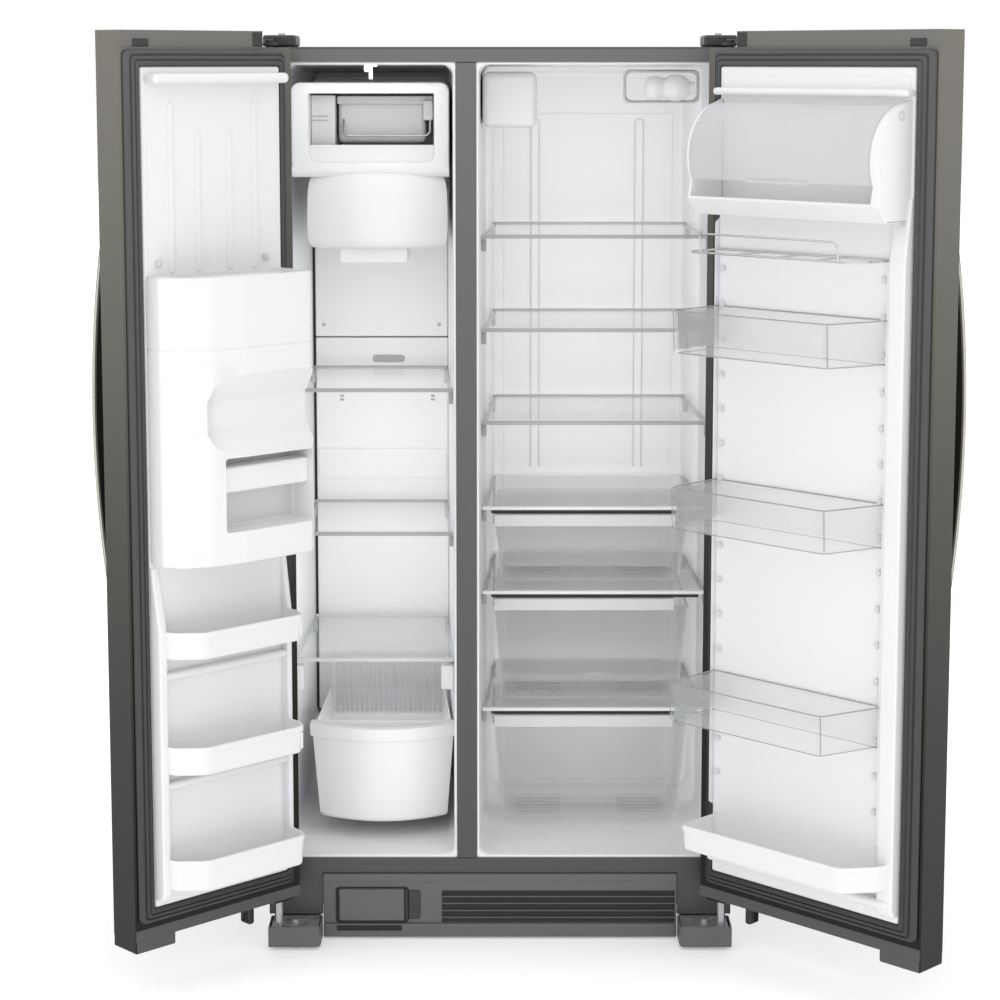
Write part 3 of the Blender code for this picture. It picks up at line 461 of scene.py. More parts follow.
LOOKS = {
    # Each steel look runs from its first colour at the top to a darker second colour at the floor: painted shade.
    "skin": steel("black_stainless", (0.205, 0.195, 0.17), (0.004, 0.0039, 0.0034), 0.34, 0.65),
    "shell": steel("cabinet_paint", (0.1, 0.1, 0.1), (0.05, 0.05, 0.05), 0.45, 0.2, (40.0,) * 3),
    "rail": steel("front_flange", (0.148, 0.148, 0.15), (0.056, 0.056, 0.056), 0.42, 0.1, (60.0,) * 3),
    "cap": steel("end_cap", (0.165, 0.16, 0.15), (0.06, 0.058, 0.055), 0.5, 0.0, (90.0,) * 3),
    "gasket": steel("gasket_vinyl", (0.088, 0.089, 0.092), (0.034, 0.034, 0.034), 0.6, 0.0, (120.0,) * 3),
    "grille": plastic("grille_plastic", (0.11, 0.11, 0.11), 0.45, 500.0, 0.00006),
    "dark": plastic("dark_plastic", (0.03, 0.03, 0.032), 0.4),
    "black": plastic("shadow_black", (0.006, 0.006, 0.006), 0.6),
    "gloss_black": plastic("dispenser_gloss", (0.012, 0.012, 0.013), 0.12),
    "handle": steel("handle_steel", (0.08, 0.078, 0.07), (0.04, 0.038, 0.034), 0.28, 0.8),
    # The next look is a painted reflection: a lighter copy of the handle steel for the bright band along each
    # handle bar.
    "handle_painted_reflection": steel("handle_painted_reflection", (0.52, 0.5, 0.44), (0.4, 0.385, 0.33), 0.3, 0.7),
    "white": plastic("white_plastic", (0.815, 0.819, 0.827), 0.28),
    "liner": plastic("liner_plastic", (0.88, 0.884, 0.892), 0.32),
    "lip": plastic("liner_lip", (0.93, 0.93, 0.935), 0.3),
    "grey": plastic("grey_plastic", (0.42, 0.425, 0.43), 0.4),
    "pale": plastic("pale_grey_plastic", (0.66, 0.665, 0.675), 0.35),
    "clear": clear("clear_plastic", (0.84, 0.86, 0.87), 0.045, 0.36),
    "glass": clear("shelf_glass", (0.78, 0.81, 0.82), 0.06, 0.26, 0.04),
    "frost": clear("frosted_plastic", (0.72, 0.73, 0.75), 0.22, 0.6, 0.25),
    # The next look paints the dark lines at the edges of the clear bins: painted edge shade.
    "rim": clear("clear_edge_shade_plastic", (0.36, 0.37, 0.38), 0.45, 0.85),
    "chrome": plastic("chrome_wire", (0.62, 0.62, 0.63), 0.16, Metallic=1.0),
    "zinc": spangled("galvanised", (0.55, 0.56, 0.58)),
    "silver": plastic("silver_steel", (0.55, 0.55, 0.55), 0.3, Metallic=0.9),
    "foam": foam("foam", (0.85, 0.78, 0.56)),
    "coil": spangled("coil_aluminium", (0.6, 0.61, 0.62)),
    "paint": plastic("compressor_paint", (0.012, 0.012, 0.013), 0.25),
}


def piece(name, shapes, look, body="cabinet", stands_for=(), smooth=40.0):
    """One visual object out of one or more closed shapes."""
    joined = bmesh.new()
    for mesh in shapes:
        step = bpy.data.meshes.new("step")
        mesh.to_mesh(step)
        mesh.free()
        joined.from_mesh(step)
        bpy.data.meshes.remove(step)
    data = bpy.data.meshes.new(name)
    joined.to_mesh(data)
    joined.free()
    data.polygons.foreach_set("use_smooth", [True] * len(data.polygons))
    data.set_sharp_from_angle(angle=math.radians(smooth))
    data.materials.append(LOOKS[look])
    obj = bpy.data.objects.new(name, data)
    pieces.objects.link(obj)
    weighted = obj.modifiers.new("weighted_normals", "WEIGHTED_NORMAL")
    weighted.keep_sharp = True
    obj.matrix_world = PLACES.get(body, CABINET)
    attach(obj, body)
    if stands_for:
        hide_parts(*stands_for)
    return obj


def carved(solid, cutters):
    """The solid with the cutters taken away from it."""
    helpers = []
    for mesh in (solid, *cutters):
        data = bpy.data.meshes.new("carving")
        mesh.to_mesh(data)
        mesh.free()
        helpers.append(bpy.data.objects.new("carving", data))
        pieces.objects.link(helpers[-1])
    for cutter in helpers[1:]:
        step = helpers[0].modifiers.new("cut", "BOOLEAN")
        step.operation, step.solver, step.object = "DIFFERENCE", "EXACT", cutter
    bpy.context.view_layer.update()
    data = bpy.data.meshes.new_from_object(helpers[0].evaluated_get(bpy.context.evaluated_depsgraph_get()))
    result = bmesh.new()
    result.from_mesh(data)
    for helper in helpers:
        bpy.data.objects.remove(helper, do_unlink=True)
    return result


def side_walls(opening, y):
    """Where the two side walls of a compartment stand at a depth."""
    taper = SIDE_TAPER * (y - LINER_FRONT) / (LINER_BACK - LINER_FRONT)
    return opening[0] + taper, opening[1] - taper


def slab(walls, front, back, clearance):
    """The plan of a shelf between tapering walls."""
    near, far = walls(front), walls(back)
    return [
        (near[0] + clearance, front), (near[1] - clearance, front),
        (far[1] - clearance, back), (far[0] + clearance, back),
    ]


def freezer_walls(y):
    return side_walls(FREEZER_OPENING, y)


def fridge_walls(y):
    return side_walls(FRIDGE_OPENING, y)


# --- nodes kept as they are, with a finish and softened edges ---------------------------------------

KEPT = {
    "skin": ("freezer_door_skin", "fridge_door_skin"),
    "shell": ("cabinet_shell",),
    "rail": ("front_frame",),
    "zinc": ("back_panel", "base_frame", "freezer_bottom_hinge", "fridge_bottom_hinge"),
    "liner": ("freezer_liner", "fridge_liner"),
    "dark": ("machine_cover", "condenser_fan", "evaporator_fan"),
    "gloss_black": ("dispenser_panel", "dispenser_paddle"),
    "coil": ("condenser_coil", "evaporator_coil"),
    "paint": ("compressor",),
    "foam": ("foam_insulation",),
}


def finish_kept():
    for look, names in KEPT.items():
        for name in names:
            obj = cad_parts[name]
            if obj.material_slots:
                for entry in obj.material_slots:
                    entry.material = LOOKS[look]
            else:
                obj.data.materials.append(LOOKS[look])
            edge = obj.modifiers.new("soft_edges", "BEVEL")
            edge.width, edge.segments, edge.angle_limit = 0.0008, 2, math.radians(40)
            edge.use_clamp_overlap = True


# --- compartments ----------------------------------------------------------------------------------


def compartment(name, opening):
    """The smooth face of a liner: a rolled lip round the opening, then walls with rounded corners."""
    lip = [(0.0046, 0.0, 0.002), (0.004, 0.002, 0.006), (0.0052, 0.0042, 0.014), (0.0095, 0.0058, 0.018),
           (0.018, 0.0064, 0.02)]
    walls = [lip[-1], *((y, 0.0064, 0.024) for y in (0.08, 0.16, 0.3, 0.45, 0.544))]
    for zone, profile, look in (("lip", lip, "lip"), ("walls", walls, "liner")):
        rings = []
        for y, step, radius in profile:
            left, right = side_walls(opening, max(y, LINER_FRONT))
            reach = max(step, left - opening[0] + 0.0006)
            rise = min(step, 0.0045)
            x = (opening[0] + reach, opening[1] - reach)
            z = (OPENING_BOTTOM + rise, OPENING_TOP - rise)
            outline = rounded([(x[0], z[0]), (x[1], z[0]), (x[1], z[1]), (x[0], z[1])], radius, 6)
            rings.append([(a, y, b) for a, b in outline])
        piece(f"{name}_{zone}", [loft(rings, caps=False)], look)


def seams():
    """The dark joints where the middle post meets the top and bottom rails, and a black strip in the freezer's back
    corner gap that is painted shadow.
    """
    post = (FREEZER_OPENING[1] + 0.001, FRIDGE_OPENING[0] - 0.001)
    front = (-0.0006, 0.002)
    levels = (OPENING_TOP - 0.001, OPENING_BOTTOM - 0.0012)
    joints = [block(post, front, (z, z + 0.0016), 0.0003, 1) for z in levels]
    # A black strip fills the gap between the evaporator panel and the left wall: painted shadow in the gap.
    left = freezer_walls(0.54)[0]
    joints.append(block((left + 0.0004, left + 0.0056), (0.544, 0.5476), (0.325, 1.5), 0.0004, 1))
    piece("cabinet_seams_and_gap_shadow", joints, "black")


def evaporator_panel():
    left, right = freezer_walls(0.545)
    span = (left + 0.0058, right - 0.0008)
    upper = block(span, (0.5395, 0.5478), (1.1345, 1.678), 0.003, 3)
    lower = block(span, (0.544, 0.5479), (0.32, 1.132), 0.002, 2)
    band = block((span[0] + 0.004, span[1] - 0.004), (0.5415, 0.545), (0.828, 0.893), 0.0015, 2)
    piece("evaporator_panel", [upper, lower, band], "liner", stands_for=("evaporator_cover",))
    # The finger slot and the vents are thin grey sheets on the panel: painted shade for their hollows.
    slot = prism(rounded([(-0.272, 1.079), (-0.203, 1.079), (-0.203, 1.095), (-0.272, 1.095)], 0.007),
                 0.5432, 0.5442, "y")
    vents = [block((x - 0.004, x + 0.004), (0.5432, 0.5442), (0.996 + rise, 1.001 + rise), 0.0004, 1)
             for x in (-0.3377, -0.1438) for rise in (0.0, 0.008)]
    piece("evaporator_slot_shade", [slot, *vents], "grey")
    screws = [screw_head((x, 0.5392, z), (0, -1, 0)) for x in (-0.375, -0.13) for z in (1.64, 1.16)]
    piece("evaporator_screws", screws, "silver")


def glass_shelf(name, walls, front, back, top, node, front_look="grey"):
    """A pane in a slim frame: a front trim, a rear trim and two side rails on the wall ledges."""
    plan = slab(walls, front, back, 0.0022)
    pane = prism(inset(plan, 0.003), top - 0.005, top - 0.0006, radius=0.0006, segments=1)
    piece(f"{name}_pane", [pane], "glass", stands_for=(node,))
    trims = []
    for y, depth, drop in ((front, 0.01, 0.0062), (back - 0.008, 0.008, 0.0055)):
        section = slab(walls, y, y + depth, 0.0024)
        trims.append(prism(section, top - drop, top + 0.0006, radius=0.0016, segments=3))
    piece(f"{name}_trims", trims, front_look)
    rails = []
    for side in (0, 1):
        inward = 1 if side == 0 else -1
        ends = [walls(y)[side] for y in (front + 0.008, back - 0.006)]
        outline = [(ends[0] + inward * 0.0022, front + 0.008), (ends[0] + inward * 0.0102, front + 0.008),
                   (ends[1] + inward * 0.0102, back - 0.006), (ends[1] + inward * 0.0022, back - 0.006)]
        rails.append(prism(outline, top - 0.01, top - 0.0052, radius=0.001, segments=2))
    piece(f"{name}_rails", rails, "frost")
    hooks = []
    for side in (0, 1):
        inward = 1 if side == 0 else -1
        for y in (front + 0.03, back - 0.03):
            wall = walls(y)[side] + inward * 0.0016
            outline = [(y - 0.012, top - 0.011), (y + 0.014, top - 0.011), (y + 0.01, top - 0.03),
                       (y - 0.002, top - 0.034)]
            x = sorted((wall, wall + inward * 0.008))
            hooks.append(prism(outline, *x, axis="x", radius=0.0015, segments=2))
    piece(f"{name}_hooks", hooks, "grey")


def freezer_inside():
    evaporator_panel()
    for name, top, front in FREEZER_SHELVES:
        front_look = "pale" if name == "freezer_drawer_cover" else "grey"
        glass_shelf(name, freezer_walls, front, 0.529, top, name, front_look)
    clip = [block((-0.2495, -0.2425), (0.044, 0.058), (1.682, 1.7085), 0.0015, 2),
            block((-0.258, -0.234), (0.042, 0.06), (1.706, 1.71), 0.0012, 2)]
    piece("ceiling_clip", clip, "white")
    brackets = []
    for side, inward in ((0, 1), (1, -1)):
        wall = freezer_walls(0.13)[side]
        outline = [(0.118, 0.5205), (0.15, 0.5205), (0.158, 0.48), (0.122, 0.47)]
        x = sorted((wall + inward * 0.002, wall + inward * 0.028))
        brackets.append(prism(outline, *x, axis="x", radius=0.004, segments=3))
    piece("freezer_drawer_guides", brackets, "white")


def ice_station():
    left, right = freezer_walls(0.18)
    left, right = left + 0.012, right - 0.01
    side_left, side_right = left - 0.003, right + 0.003
    face = rounded([(side_left, 1.5), (side_right, 1.5), (side_right, 1.6755), (side_left, 1.6755)],
                   [0.009, 0.009, 0.018, 0.018], 6)
    pane = (left + 0.032, right - 0.027)
    window = rounded([(pane[0], 1.522), (pane[1], 1.522), (pane[1], 1.6535), (pane[0], 1.6535)],
                     [0.016, 0.016, 0.002, 0.002], 6)
    rings = [
        [(x, 0.48, z) for x, z in inset(face, 0.004)], [(x, 0.158, z) for x, z in face],
        [(x, 0.151, z) for x, z in inset(face, 0.0015)], [(x, 0.1475, z) for x, z in inset(face, 0.007)],
    ]
    hole = [[(x, y, z) for x, z in inset(window, step)]
            for y, step in ((0.1475, -0.002), (0.15, 0.0), (0.47, 0.002))]
    cover = housing_with_hole(rings, hole)
    ramp = prism([(0.1492, 1.5215), (0.151, 1.5235), (0.172, 1.5535), (0.18, 1.5535), (0.18, 1.515),
                  (0.1492, 1.515)], left + 0.03, right - 0.025, "x", 0.0015, 2)
    crease = prism([(0.149, 1.512), (0.149, 1.502), (0.156, 1.494), (0.168, 1.49), (0.175, 1.512)],
                   side_left, side_right, "x", 0.002, 2)
    piece("ice_station_housing", [cover, ramp, crease], "white", stands_for=("ice_housing",))
    maker = [
        block((left + 0.0325, left + 0.08), (0.2, 0.42), (1.545, 1.65), 0.003, 2),
        block((left + 0.084, right - 0.045), (0.235, 0.42), (1.556, 1.64), 0.01, 3),
        block((left + 0.082, right - 0.03), (0.226, 0.24), (1.632, 1.648), 0.003, 2),
        block((right - 0.05, right - 0.03), (0.215, 0.235), (1.6, 1.64), 0.004, 2),
    ]
    piece("ice_maker_body", maker, "pale", stands_for=("ice_maker",))
    # The dark lines on the ice maker's front are grey strips: painted shade for its groove lines.
    groove_shades = [block((left + 0.033, left + 0.066), (0.1992, 0.2006), (z, z + 0.0024), 0.0003, 1)
               for z in (1.5995, 1.6075)]
    piece("ice_maker_groove_shade", groove_shades, "grey")
    arm = [(right - 0.036, 0.23, 1.63), (right - 0.036, 0.206, 1.57), (left + 0.095, 0.206, 1.57),
           (left + 0.095, 0.236, 1.602)]
    piece("ice_maker_arm", [tube(arm, 0.0022, 10, bend=0.012)], "silver")

    bin_left, bin_right = -0.379, right - 0.001
    plan = bowed((bin_left, 0.17), (bin_right, 0.17), -0.036, 20) + [(bin_right - 0.012, 0.47),
                                                                      (bin_left + 0.012, 0.47)]
    rings = []
    for z, step in ((1.351, 0.016), (1.3525, 0.01), (1.358, 0.0045), (1.368, 0.0012), (1.39, 0.0), (1.43, 0.0),
                    (1.462, 0.001), (1.482, 0.004), (1.494, 0.009), (1.5, 0.015), (1.5008, 0.018)):
        rings.append(at(inset(plan, step), z))
    rings.append(at(inset(plan, 0.0215), 1.4985))
    rings.append(at(inset(plan, 0.022), 1.48))
    rings.append(at(inset(plan, 0.006), 1.44))
    rings.append(at(inset(plan, 0.008), 1.362))
    rings.append(at(inset(plan, 0.016), 1.356))
    mouth = [(-0.182, 0.16), (-0.182, 0.3), (-0.315, 0.3), (-0.315, 0.16)]
    chute = tub(mouth, 1.3215, 1.356, 0.003, 0.0, 0.004)
    shapes = [loft(rings), soften(chute, 0.003, 3, 60)]
    piece("ice_bin_body", shapes, "white", "ice_bin", stands_for=("ice_bin",))


def bowed(start, end, height, steps):
    """Points on an arc between two ends, standing off their line by the height."""
    start, end = Vector(start), Vector(end)
    along = end - start
    out = Vector((-along.y, along.x)).normalized()
    points = []
    for i in range(steps + 1):
        rise = height * (1 - (2 * i / steps - 1) ** 2)
        points.append(tuple(start + along * (i / steps) + out * rise))
    return points


def housing_with_hole(outer, inner):
    """An open-backed cover: outer skin rings from back to front, then a hole's rings from front to back."""
    mesh = loft(outer, caps=False)
    tunnel = loft(inner, caps=False)
    step = bpy.data.meshes.new("step")
    tunnel.to_mesh(step)
    tunnel.free()
    mesh.from_mesh(step)
    bpy.data.meshes.remove(step)
    ends = [ring_edges(mesh, ring) for ring in (outer[-1], inner[0])]
    bmesh.ops.bridge_loops(mesh, edges=ends[0] + ends[1])
    bmesh.ops.recalc_face_normals(mesh, faces=mesh.faces)
    return mesh


def ring_edges(mesh, ring):
    """The edges of a mesh that lie along a ring of points."""
    places = [Vector(point) for point in ring]
    found = []
    for edge in mesh.edges:
        if edge.is_boundary and all(min((v.co - p).length for p in places) < 1e-6 for v in edge.verts):
            found.append(edge)
    return found


def freezer_drawer():
    left, right = -0.376, -0.093
    front = bowed((left, 0.13), (right, 0.13), -0.048, 24)
    plan = front + [(right - 0.024, 0.46), (left + 0.012, 0.46)]
    body = tub(plan, 0.205, 0.384, 0.003, 0.013, 0.01)
    rim = front + [(right, 0.15), (left, 0.15)]
    lip = loft([at(inset(rim, step), z) for z, step in (
        (0.374, 0.002), (0.3744, -0.002), (0.377, -0.0042), (0.396, -0.0052), (0.4005, -0.004),
        (0.402, 0.0), (0.402, 0.01), (0.4, 0.012), (0.39, 0.0125))])
    piece("freezer_drawer_body", [body, lip], "white", "freezer_drawer", stands_for=("freezer_drawer",))
    ribs = []
    width, count = 0.0065, 22
    start, end = left + 0.03, right - 0.036
    for k in range(count):
        x = start + (end - start) * k / (count - 1)
        ribs.append(block((x - width / 2, x + width / 2), (0.449, 0.451), (0.335, 0.455), 0.001, 2))
    back = block((left + 0.016, right - 0.024), (0.4512, 0.4535), (0.32, 0.46), 0.0008, 1)
    piece("freezer_drawer_basket", [*ribs, back], "frost", "freezer_drawer")


def back_rib_shade_lines():
    """Grey lines round the two round-topped ribs pressed in the fresh food compartment's back wall: painted shade
    along the rib edges.
    """
    lines = []
    for x in (0.0755, 0.298):
        half, top, y = 0.0085, 1.585, LINER_BACK - 0.0042
        crown = [(a, y, b) for a, b in arc((x, top), half, 180, 0, 10)]
        outline = [(x - half, y, 0.84), *crown, (x + half, y, 0.84)]
        lines.append(tube(outline, 0.0012, 8))
    piece("fridge_back_rib_shade_lines", lines, "pale")


def clear_drawer(name, body, node, front, depth, low, high, cover):
    """A clear crisper: a tapering tub with a turned-out rim and an opaque grip along its front."""
    x = (-0.0115, 0.3755)
    plan = rounded([(x[0], front), (x[1], front), (x[1] - 0.006, depth), (x[0] + 0.006, depth)],
                   [0.012, 0.012, 0.02, 0.02], 5)
    shell = tub(plan, low, high, 0.0026, 0.014, 0.012)
    ribs = []
    for k in range(5):
        y = front + 0.05 + 0.022 * k
        for span in ((x[0] + 0.045, x[0] + 0.135), (x[1] - 0.135, x[1] - 0.045)):
            ribs.append(block(span, (y, y + 0.004), (low + 0.003, low + 0.0055), 0.001, 1))
    piece(f"{name}_tub", [shell, *ribs], "clear", body, stands_for=(node,))
    grip_top = cover - 0.015
    section = [(front - 0.006, grip_top - 0.0235), (front - 0.0068, grip_top - 0.002), (front - 0.004, grip_top),
               (front + 0.013, grip_top), (front + 0.013, grip_top - 0.003), (front - 0.001, grip_top - 0.0045),
               (front - 0.002, grip_top - 0.0235)]
    grip = prism(section, x[0], 0.348, "x", 0.0008, 2)
    piece(f"{name}_grip", [grip], "pale", body)
    runners = [block(span, (front + 0.01, depth - 0.02), (high - 0.006, high - 0.002), 0.001, 1)
               for span in ((x[0] - 0.003, x[0] + 0.002), (x[1] - 0.002, x[1] + 0.003))]
    piece(f"{name}_runners", runners, "frost", body)


def fridge_inside():
    for name, top in GLASS_SHELVES:
        glass_shelf(name, fridge_walls, 0.152, 0.558, top, name)
    for name, top in DRAWER_COVERS:
        glass_shelf(name, fridge_walls, 0.148, 0.558, top, name, "white")
        left, right = fridge_walls(0.16)
        strip = block((left + 0.02, right - 0.02), (0.16, 0.17), (top - 0.015, top - 0.0066), 0.001, 1)
        piece(f"{name}_shadow_strip", [strip], "dark")
    clear_drawer("deli", "deli_drawer", "deli_drawer", 0.152, 0.538, 0.68, 0.806, 0.8365)
    clear_drawer("upper_crisper", "upper_crisper", "upper_crisper", 0.152, 0.538, 0.437, 0.636, 0.6657)
    clear_drawer("lower_crisper", "lower_crisper", "lower_crisper", 0.152, 0.476, 0.191, 0.397, 0.4262)

    left = fridge_walls(0.175)[0] + 0.003
    housing = block((left, 0.0713), (0.115, 0.235), (1.5885, 1.6955), 0.014, 4)
    piece("control_housing_body", [housing], "white", stands_for=("control_housing",))
    # The vent openings on the housing's side are grey strips: painted shade for the openings.
    slit_shades = [block((0.064, 0.0722), (0.13 + 0.024 * k, 0.146 + 0.024 * k), (z, z + 0.004), 0.0006, 1)
             for k in range(4) for z in (1.618, 1.634, 1.65)]
    piece("control_housing_slit_shade", slit_shades, "grey")
    bulb = turned([(0, 0), (0.011, 0.001), (0.0125, 0.008), (0.013, 0.012), (0.0215, 0.02), (0.026, 0.032),
                   (0.0262, 0.042), (0.0235, 0.052), (0.0185, 0.058), (0.018, 0.064), (0.0225, 0.072),
                   (0.0235, 0.082), (0.02, 0.092), (0.011, 0.0985), (0, 0.1)],
                  (0.38, 0.15, 1.665), (-1, 0, 0), 28)
    piece("fridge_lamp_bulb", [bulb], "lip", stands_for=("fridge_lamp",))
    # The pale grey rim of the lamp's pocket is painted shade, standing for the grey shading inside the pocket round
    # the bulb.
    shade = loft([[(x, y, z) for x, z in rounded([(0.242 + s, 1.634 + s), (0.392 - s, 1.634 + s),
                                                 (0.392 - s, 1.7 - s), (0.242 + s, 1.7 - s)], 0.012, 5)]
                  for y, s in ((0.215, 0.002), (0.195, 0.0), (0.192, 0.003), (0.2, 0.006))], caps=False)
    piece("fridge_lamp_pocket_shade", [shade], "pale")


# --- base ------------------------------------------------------------------------------------------


def base_front():
    """The kick grille: a pressed plate with louvres, a drain slot and the filter's round-cornered hole."""
    half = 0.3475
    face = (-0.0035, 0.007)
    plate = block((-half, half), face, (0.0325, 0.1325), 0.0012, 2)
    lip = block((-half, half), (-0.0062, 0.005), (0.004, 0.0318), 0.0025, 3)
    border = (-0.0046, -0.003)
    frame_bars = [
        block((-half, half), border, (0.1165, 0.1322), 0.0008, 1),
        block((-half, -half + 0.004), border, (0.0325, 0.1165), 0.0006, 1),
        block((half - 0.004, half), border, (0.0325, 0.1165), 0.0006, 1),
    ]
    slats = [block((-0.114, 0.346), (-0.0066, -0.003), (z, z + 0.002), 0.0004, 1)
             for z in (0.0435, 0.0575, 0.072, 0.086)]
    piece("kick_grille", [plate, lip, *frame_bars, *slats], "grille", stands_for=("base_grille",))
    louvre = block((-0.1145, 0.3462), (-0.0042, -0.0034), (0.0342, 0.0985), 0.0003, 1)
    drain = block((-0.3215, -0.193), (-0.0068, -0.006), (0.0175, 0.0285), 0.0003, 1)
    outline = rounded([(-0.3235, 0.0335), (-0.18, 0.0335), (-0.18, 0.106), (-0.3235, 0.106)], 0.006, 5)
    recess = prism(outline, -0.0046, -0.0036, "y")
    piece("grille_shadows", [louvre, drain, recess], "black")
    cap_outline = rounded([(-0.3165, 0.039), (-0.188, 0.039), (-0.188, 0.1035), (-0.3165, 0.1035)], 0.004, 5)
    rings = [[(x, y, z) for x, z in inset(cap_outline, step)] for y, step in (
        (0.24, 0.018), (0.01, 0.018), (0.01, 0.0), (-0.008, 0.0), (-0.0098, 0.0012), (-0.0102, 0.003))]
    piece("water_filter_cap", [loft(rings)], "grille", "water_filter", stands_for=("water_filter",))
    tab_outline = rounded([(-0.18, 0.0415), (-0.157, 0.0415), (-0.157, 0.0995), (-0.18, 0.0995)],
                          [0.001, 0.006, 0.006, 0.001], 5)
    tab = loft([[(x, y, z) for x, z in inset(tab_outline, step)] for y, step in (
        (0.002, 0.0), (-0.006, 0.0), (-0.0075, 0.0015))])
    groove = [block((-0.1862, -0.1816), (-0.007, 0.004), (0.04, 0.102), 0.0012, 2)]
    piece("water_filter_tab", [tab, *groove], "dark", "water_filter")
    for name, side in (("freezer_foot_cover", -1), ("fridge_foot_cover", 1)):
        foot_cover(name, side)


def foot_cover(name, side):
    """An open-topped shoe round the levelling leg and the hinge plate."""
    near, far = 0.3492, 0.4508
    outline = [(side * near, -0.001), (side * near, -0.052), (side * (near + 0.003), -0.066),
               (side * (near + 0.007), -0.069), (side * far, -0.069), (side * far, -0.001)]
    outline = outline if area(outline) > 0 else outline[::-1]
    rings = [at(inset(outline, step), z) for z, step in (
        (0.006, 0.002), (0.0068, 0.0004), (0.008, 0.0), (0.0462, 0.0), (0.0472, 0.0008), (0.0474, 0.002),
        (0.0465, 0.0028), (0.012, 0.003))]
    piece(f"{name}_shoe", [loft(rings)], "grille", stands_for=(name,))


# --- doors -----------------------------------------------------------------------------------------


def part(door, across, rise, z, radius=0.002, segments=3):
    """A rounded block on a closed door."""
    return block(door.span(*across), (door.y(rise[0]), door.y(rise[1])), z, radius, segments)


def upright(door, across, outline, radius=0.002, segments=3):
    """A (rise, z) outline pushed across the door."""
    points = [(door.y(rise), z) for rise, z in outline]
    return prism(points, *door.span(*across), axis="x", radius=radius, segments=segments)


def turning(outline):
    """The outline, ordered anticlockwise."""
    return outline if area(outline) > 0 else outline[::-1]


def door_trims(door):
    """The end caps: a strip along the top, stop block, hinge pocket and the closer under the bottom edge."""
    width, name = door.width, door.name
    far = width - HINGE_NOTCH
    strip = part(door, (0.001, far), (-0.074, 0.0008), (1.742, 1.7712), 0.001, 2)
    low_strip = part(door, (0.001, width - 0.001), (-0.074, 0.0006), (0.1095, 0.131), 0.001, 2)
    tail = part(door, (0.001, 0.089), (-0.072, -0.0012), (0.0863, 0.113), 0.003, 3)
    piece(f"{name}_end_caps", [strip, low_strip, tail], "cap", name)
    stop_block = part(door, (0.028, 0.062), (-0.03, 0.003), (1.742, 1.756), 0.002, 3)
    pocket = part(door, (far - 0.024, far - 0.002), (-0.03, 0.0028), (1.743, 1.769), 0.002, 3)
    hook = part(door, (width - 0.118, width - 0.104), (-0.04, -0.012), (0.074, 0.114), 0.004, 3)
    piece(f"{name}_stop_blocks", [stop_block, pocket, hook], "dark", name)
    pin_x, pin_y = door.side * PIVOT[0], PIVOT[1]
    bush = turned([(0.0085, 0.0), (0.0135, 0.0), (0.0145, 0.002), (0.0145, 0.012), (0.0085, 0.012),
                   (0.0085, 0.0)],
                  (pin_x, pin_y, 0.0985), (0, 0, 1), 24)
    screws = [screw_head((door.x(t), door.y(-0.03), 0.0862), (0, 0, -1)) for t in (0.025, 0.065)]
    piece(f"{name}_bushing", [bush, *screws], "silver", name)


def gasket(door, hole, name):
    """The magnetic seal: a closed frame with a bellows profile."""
    outer = (*door.span(0.006, door.width - 0.024), 0.144, 1.737)
    inner = (*door.span(*hole), LINER_BOTTOM - 0.001, LINER_TOP + 0.001)
    profile = [(0.0, 0.0003), (0.0, 0.008), (0.1, 0.0116), (0.28, 0.0121), (0.34, 0.009), (0.38, 0.009),
               (0.44, 0.012), (0.6, 0.012), (0.65, 0.0085), (0.7, 0.0085), (0.76, 0.0115), (0.92, 0.011),
               (1.0, 0.0075), (1.0, 0.0003)]
    rings = []
    for share, rise in profile + profile[:1]:
        left, right, low, high = (a + (b - a) * share for a, b in zip(inner, outer))
        corners = [(left, low), (right, low), (right, high), (left, high)]
        rings.append([(x, door.y(rise), z) for x, z in rounded(corners, 0.003 + 0.009 * share, 4)])
    piece(f"{name}_bellows", [loft(rings, caps=False)], "gasket", door.name, stands_for=(name,), smooth=55)


def arch(low, high, height, steps):
    """Points of a shallow arc along z that stands off the door's face."""
    points = []
    for k in range(steps + 1):
        s = 2 * k / steps - 1
        points.append((DOOR_OUTER - 0.0003 - height * (1 - s * s), low + (high - low) * k / steps))
    return points


def handle(door):
    bar = arch(HANDLE_LOW, HANDLE_HIGH, 0.0655, 40) + arch(0.7, 1.455, 0.0505, 36)[::-1]
    near, far = 0.0225, 0.0448
    body = prism(bar, *door.span(near, far), axis="x", radius=0.0022, segments=2, limit=60)
    piece(f"{door.name}_handle_bar", [body], "handle", door.name, stands_for=(f"{door.name}_handle",))
    # The light band along the bar's inner side is a painted reflection, in a lighter copy of the handle steel.
    reflection_band = arch(0.672, 1.483, 0.0625, 40) + arch(0.684, 1.471, 0.0555, 36)[::-1]
    reflection_strip = prism(reflection_band, *door.span(near - 0.0004, near + 0.003), axis="x")
    piece(f"{door.name}_handle_stripe", [reflection_strip], "handle_painted_reflection", door.name)


def door_panel(door, across, posts, post_top):
    """The liner's face with a rounded rim and the two upright posts that carry the bins."""
    near, far = across
    slab_block = part(door, (near, far), (-0.012, 0.01), (LINER_BOTTOM, LINER_TOP), 0.005, 3)
    field = part(door, (near + 0.01, far - 0.01), (0.0, 0.0118), (0.19, 1.69), 0.0016, 2)
    shapes = [slab_block, field]
    for low, high, rise in posts:
        outline = [(0.004, 0.184), (rise - 0.01, 0.184), (rise, 0.2), (rise, post_top - 0.115),
                   (0.013, post_top), (0.004, post_top)]
        shapes.append(upright(door, (low, high), outline, 0.004, 3))
    return shapes


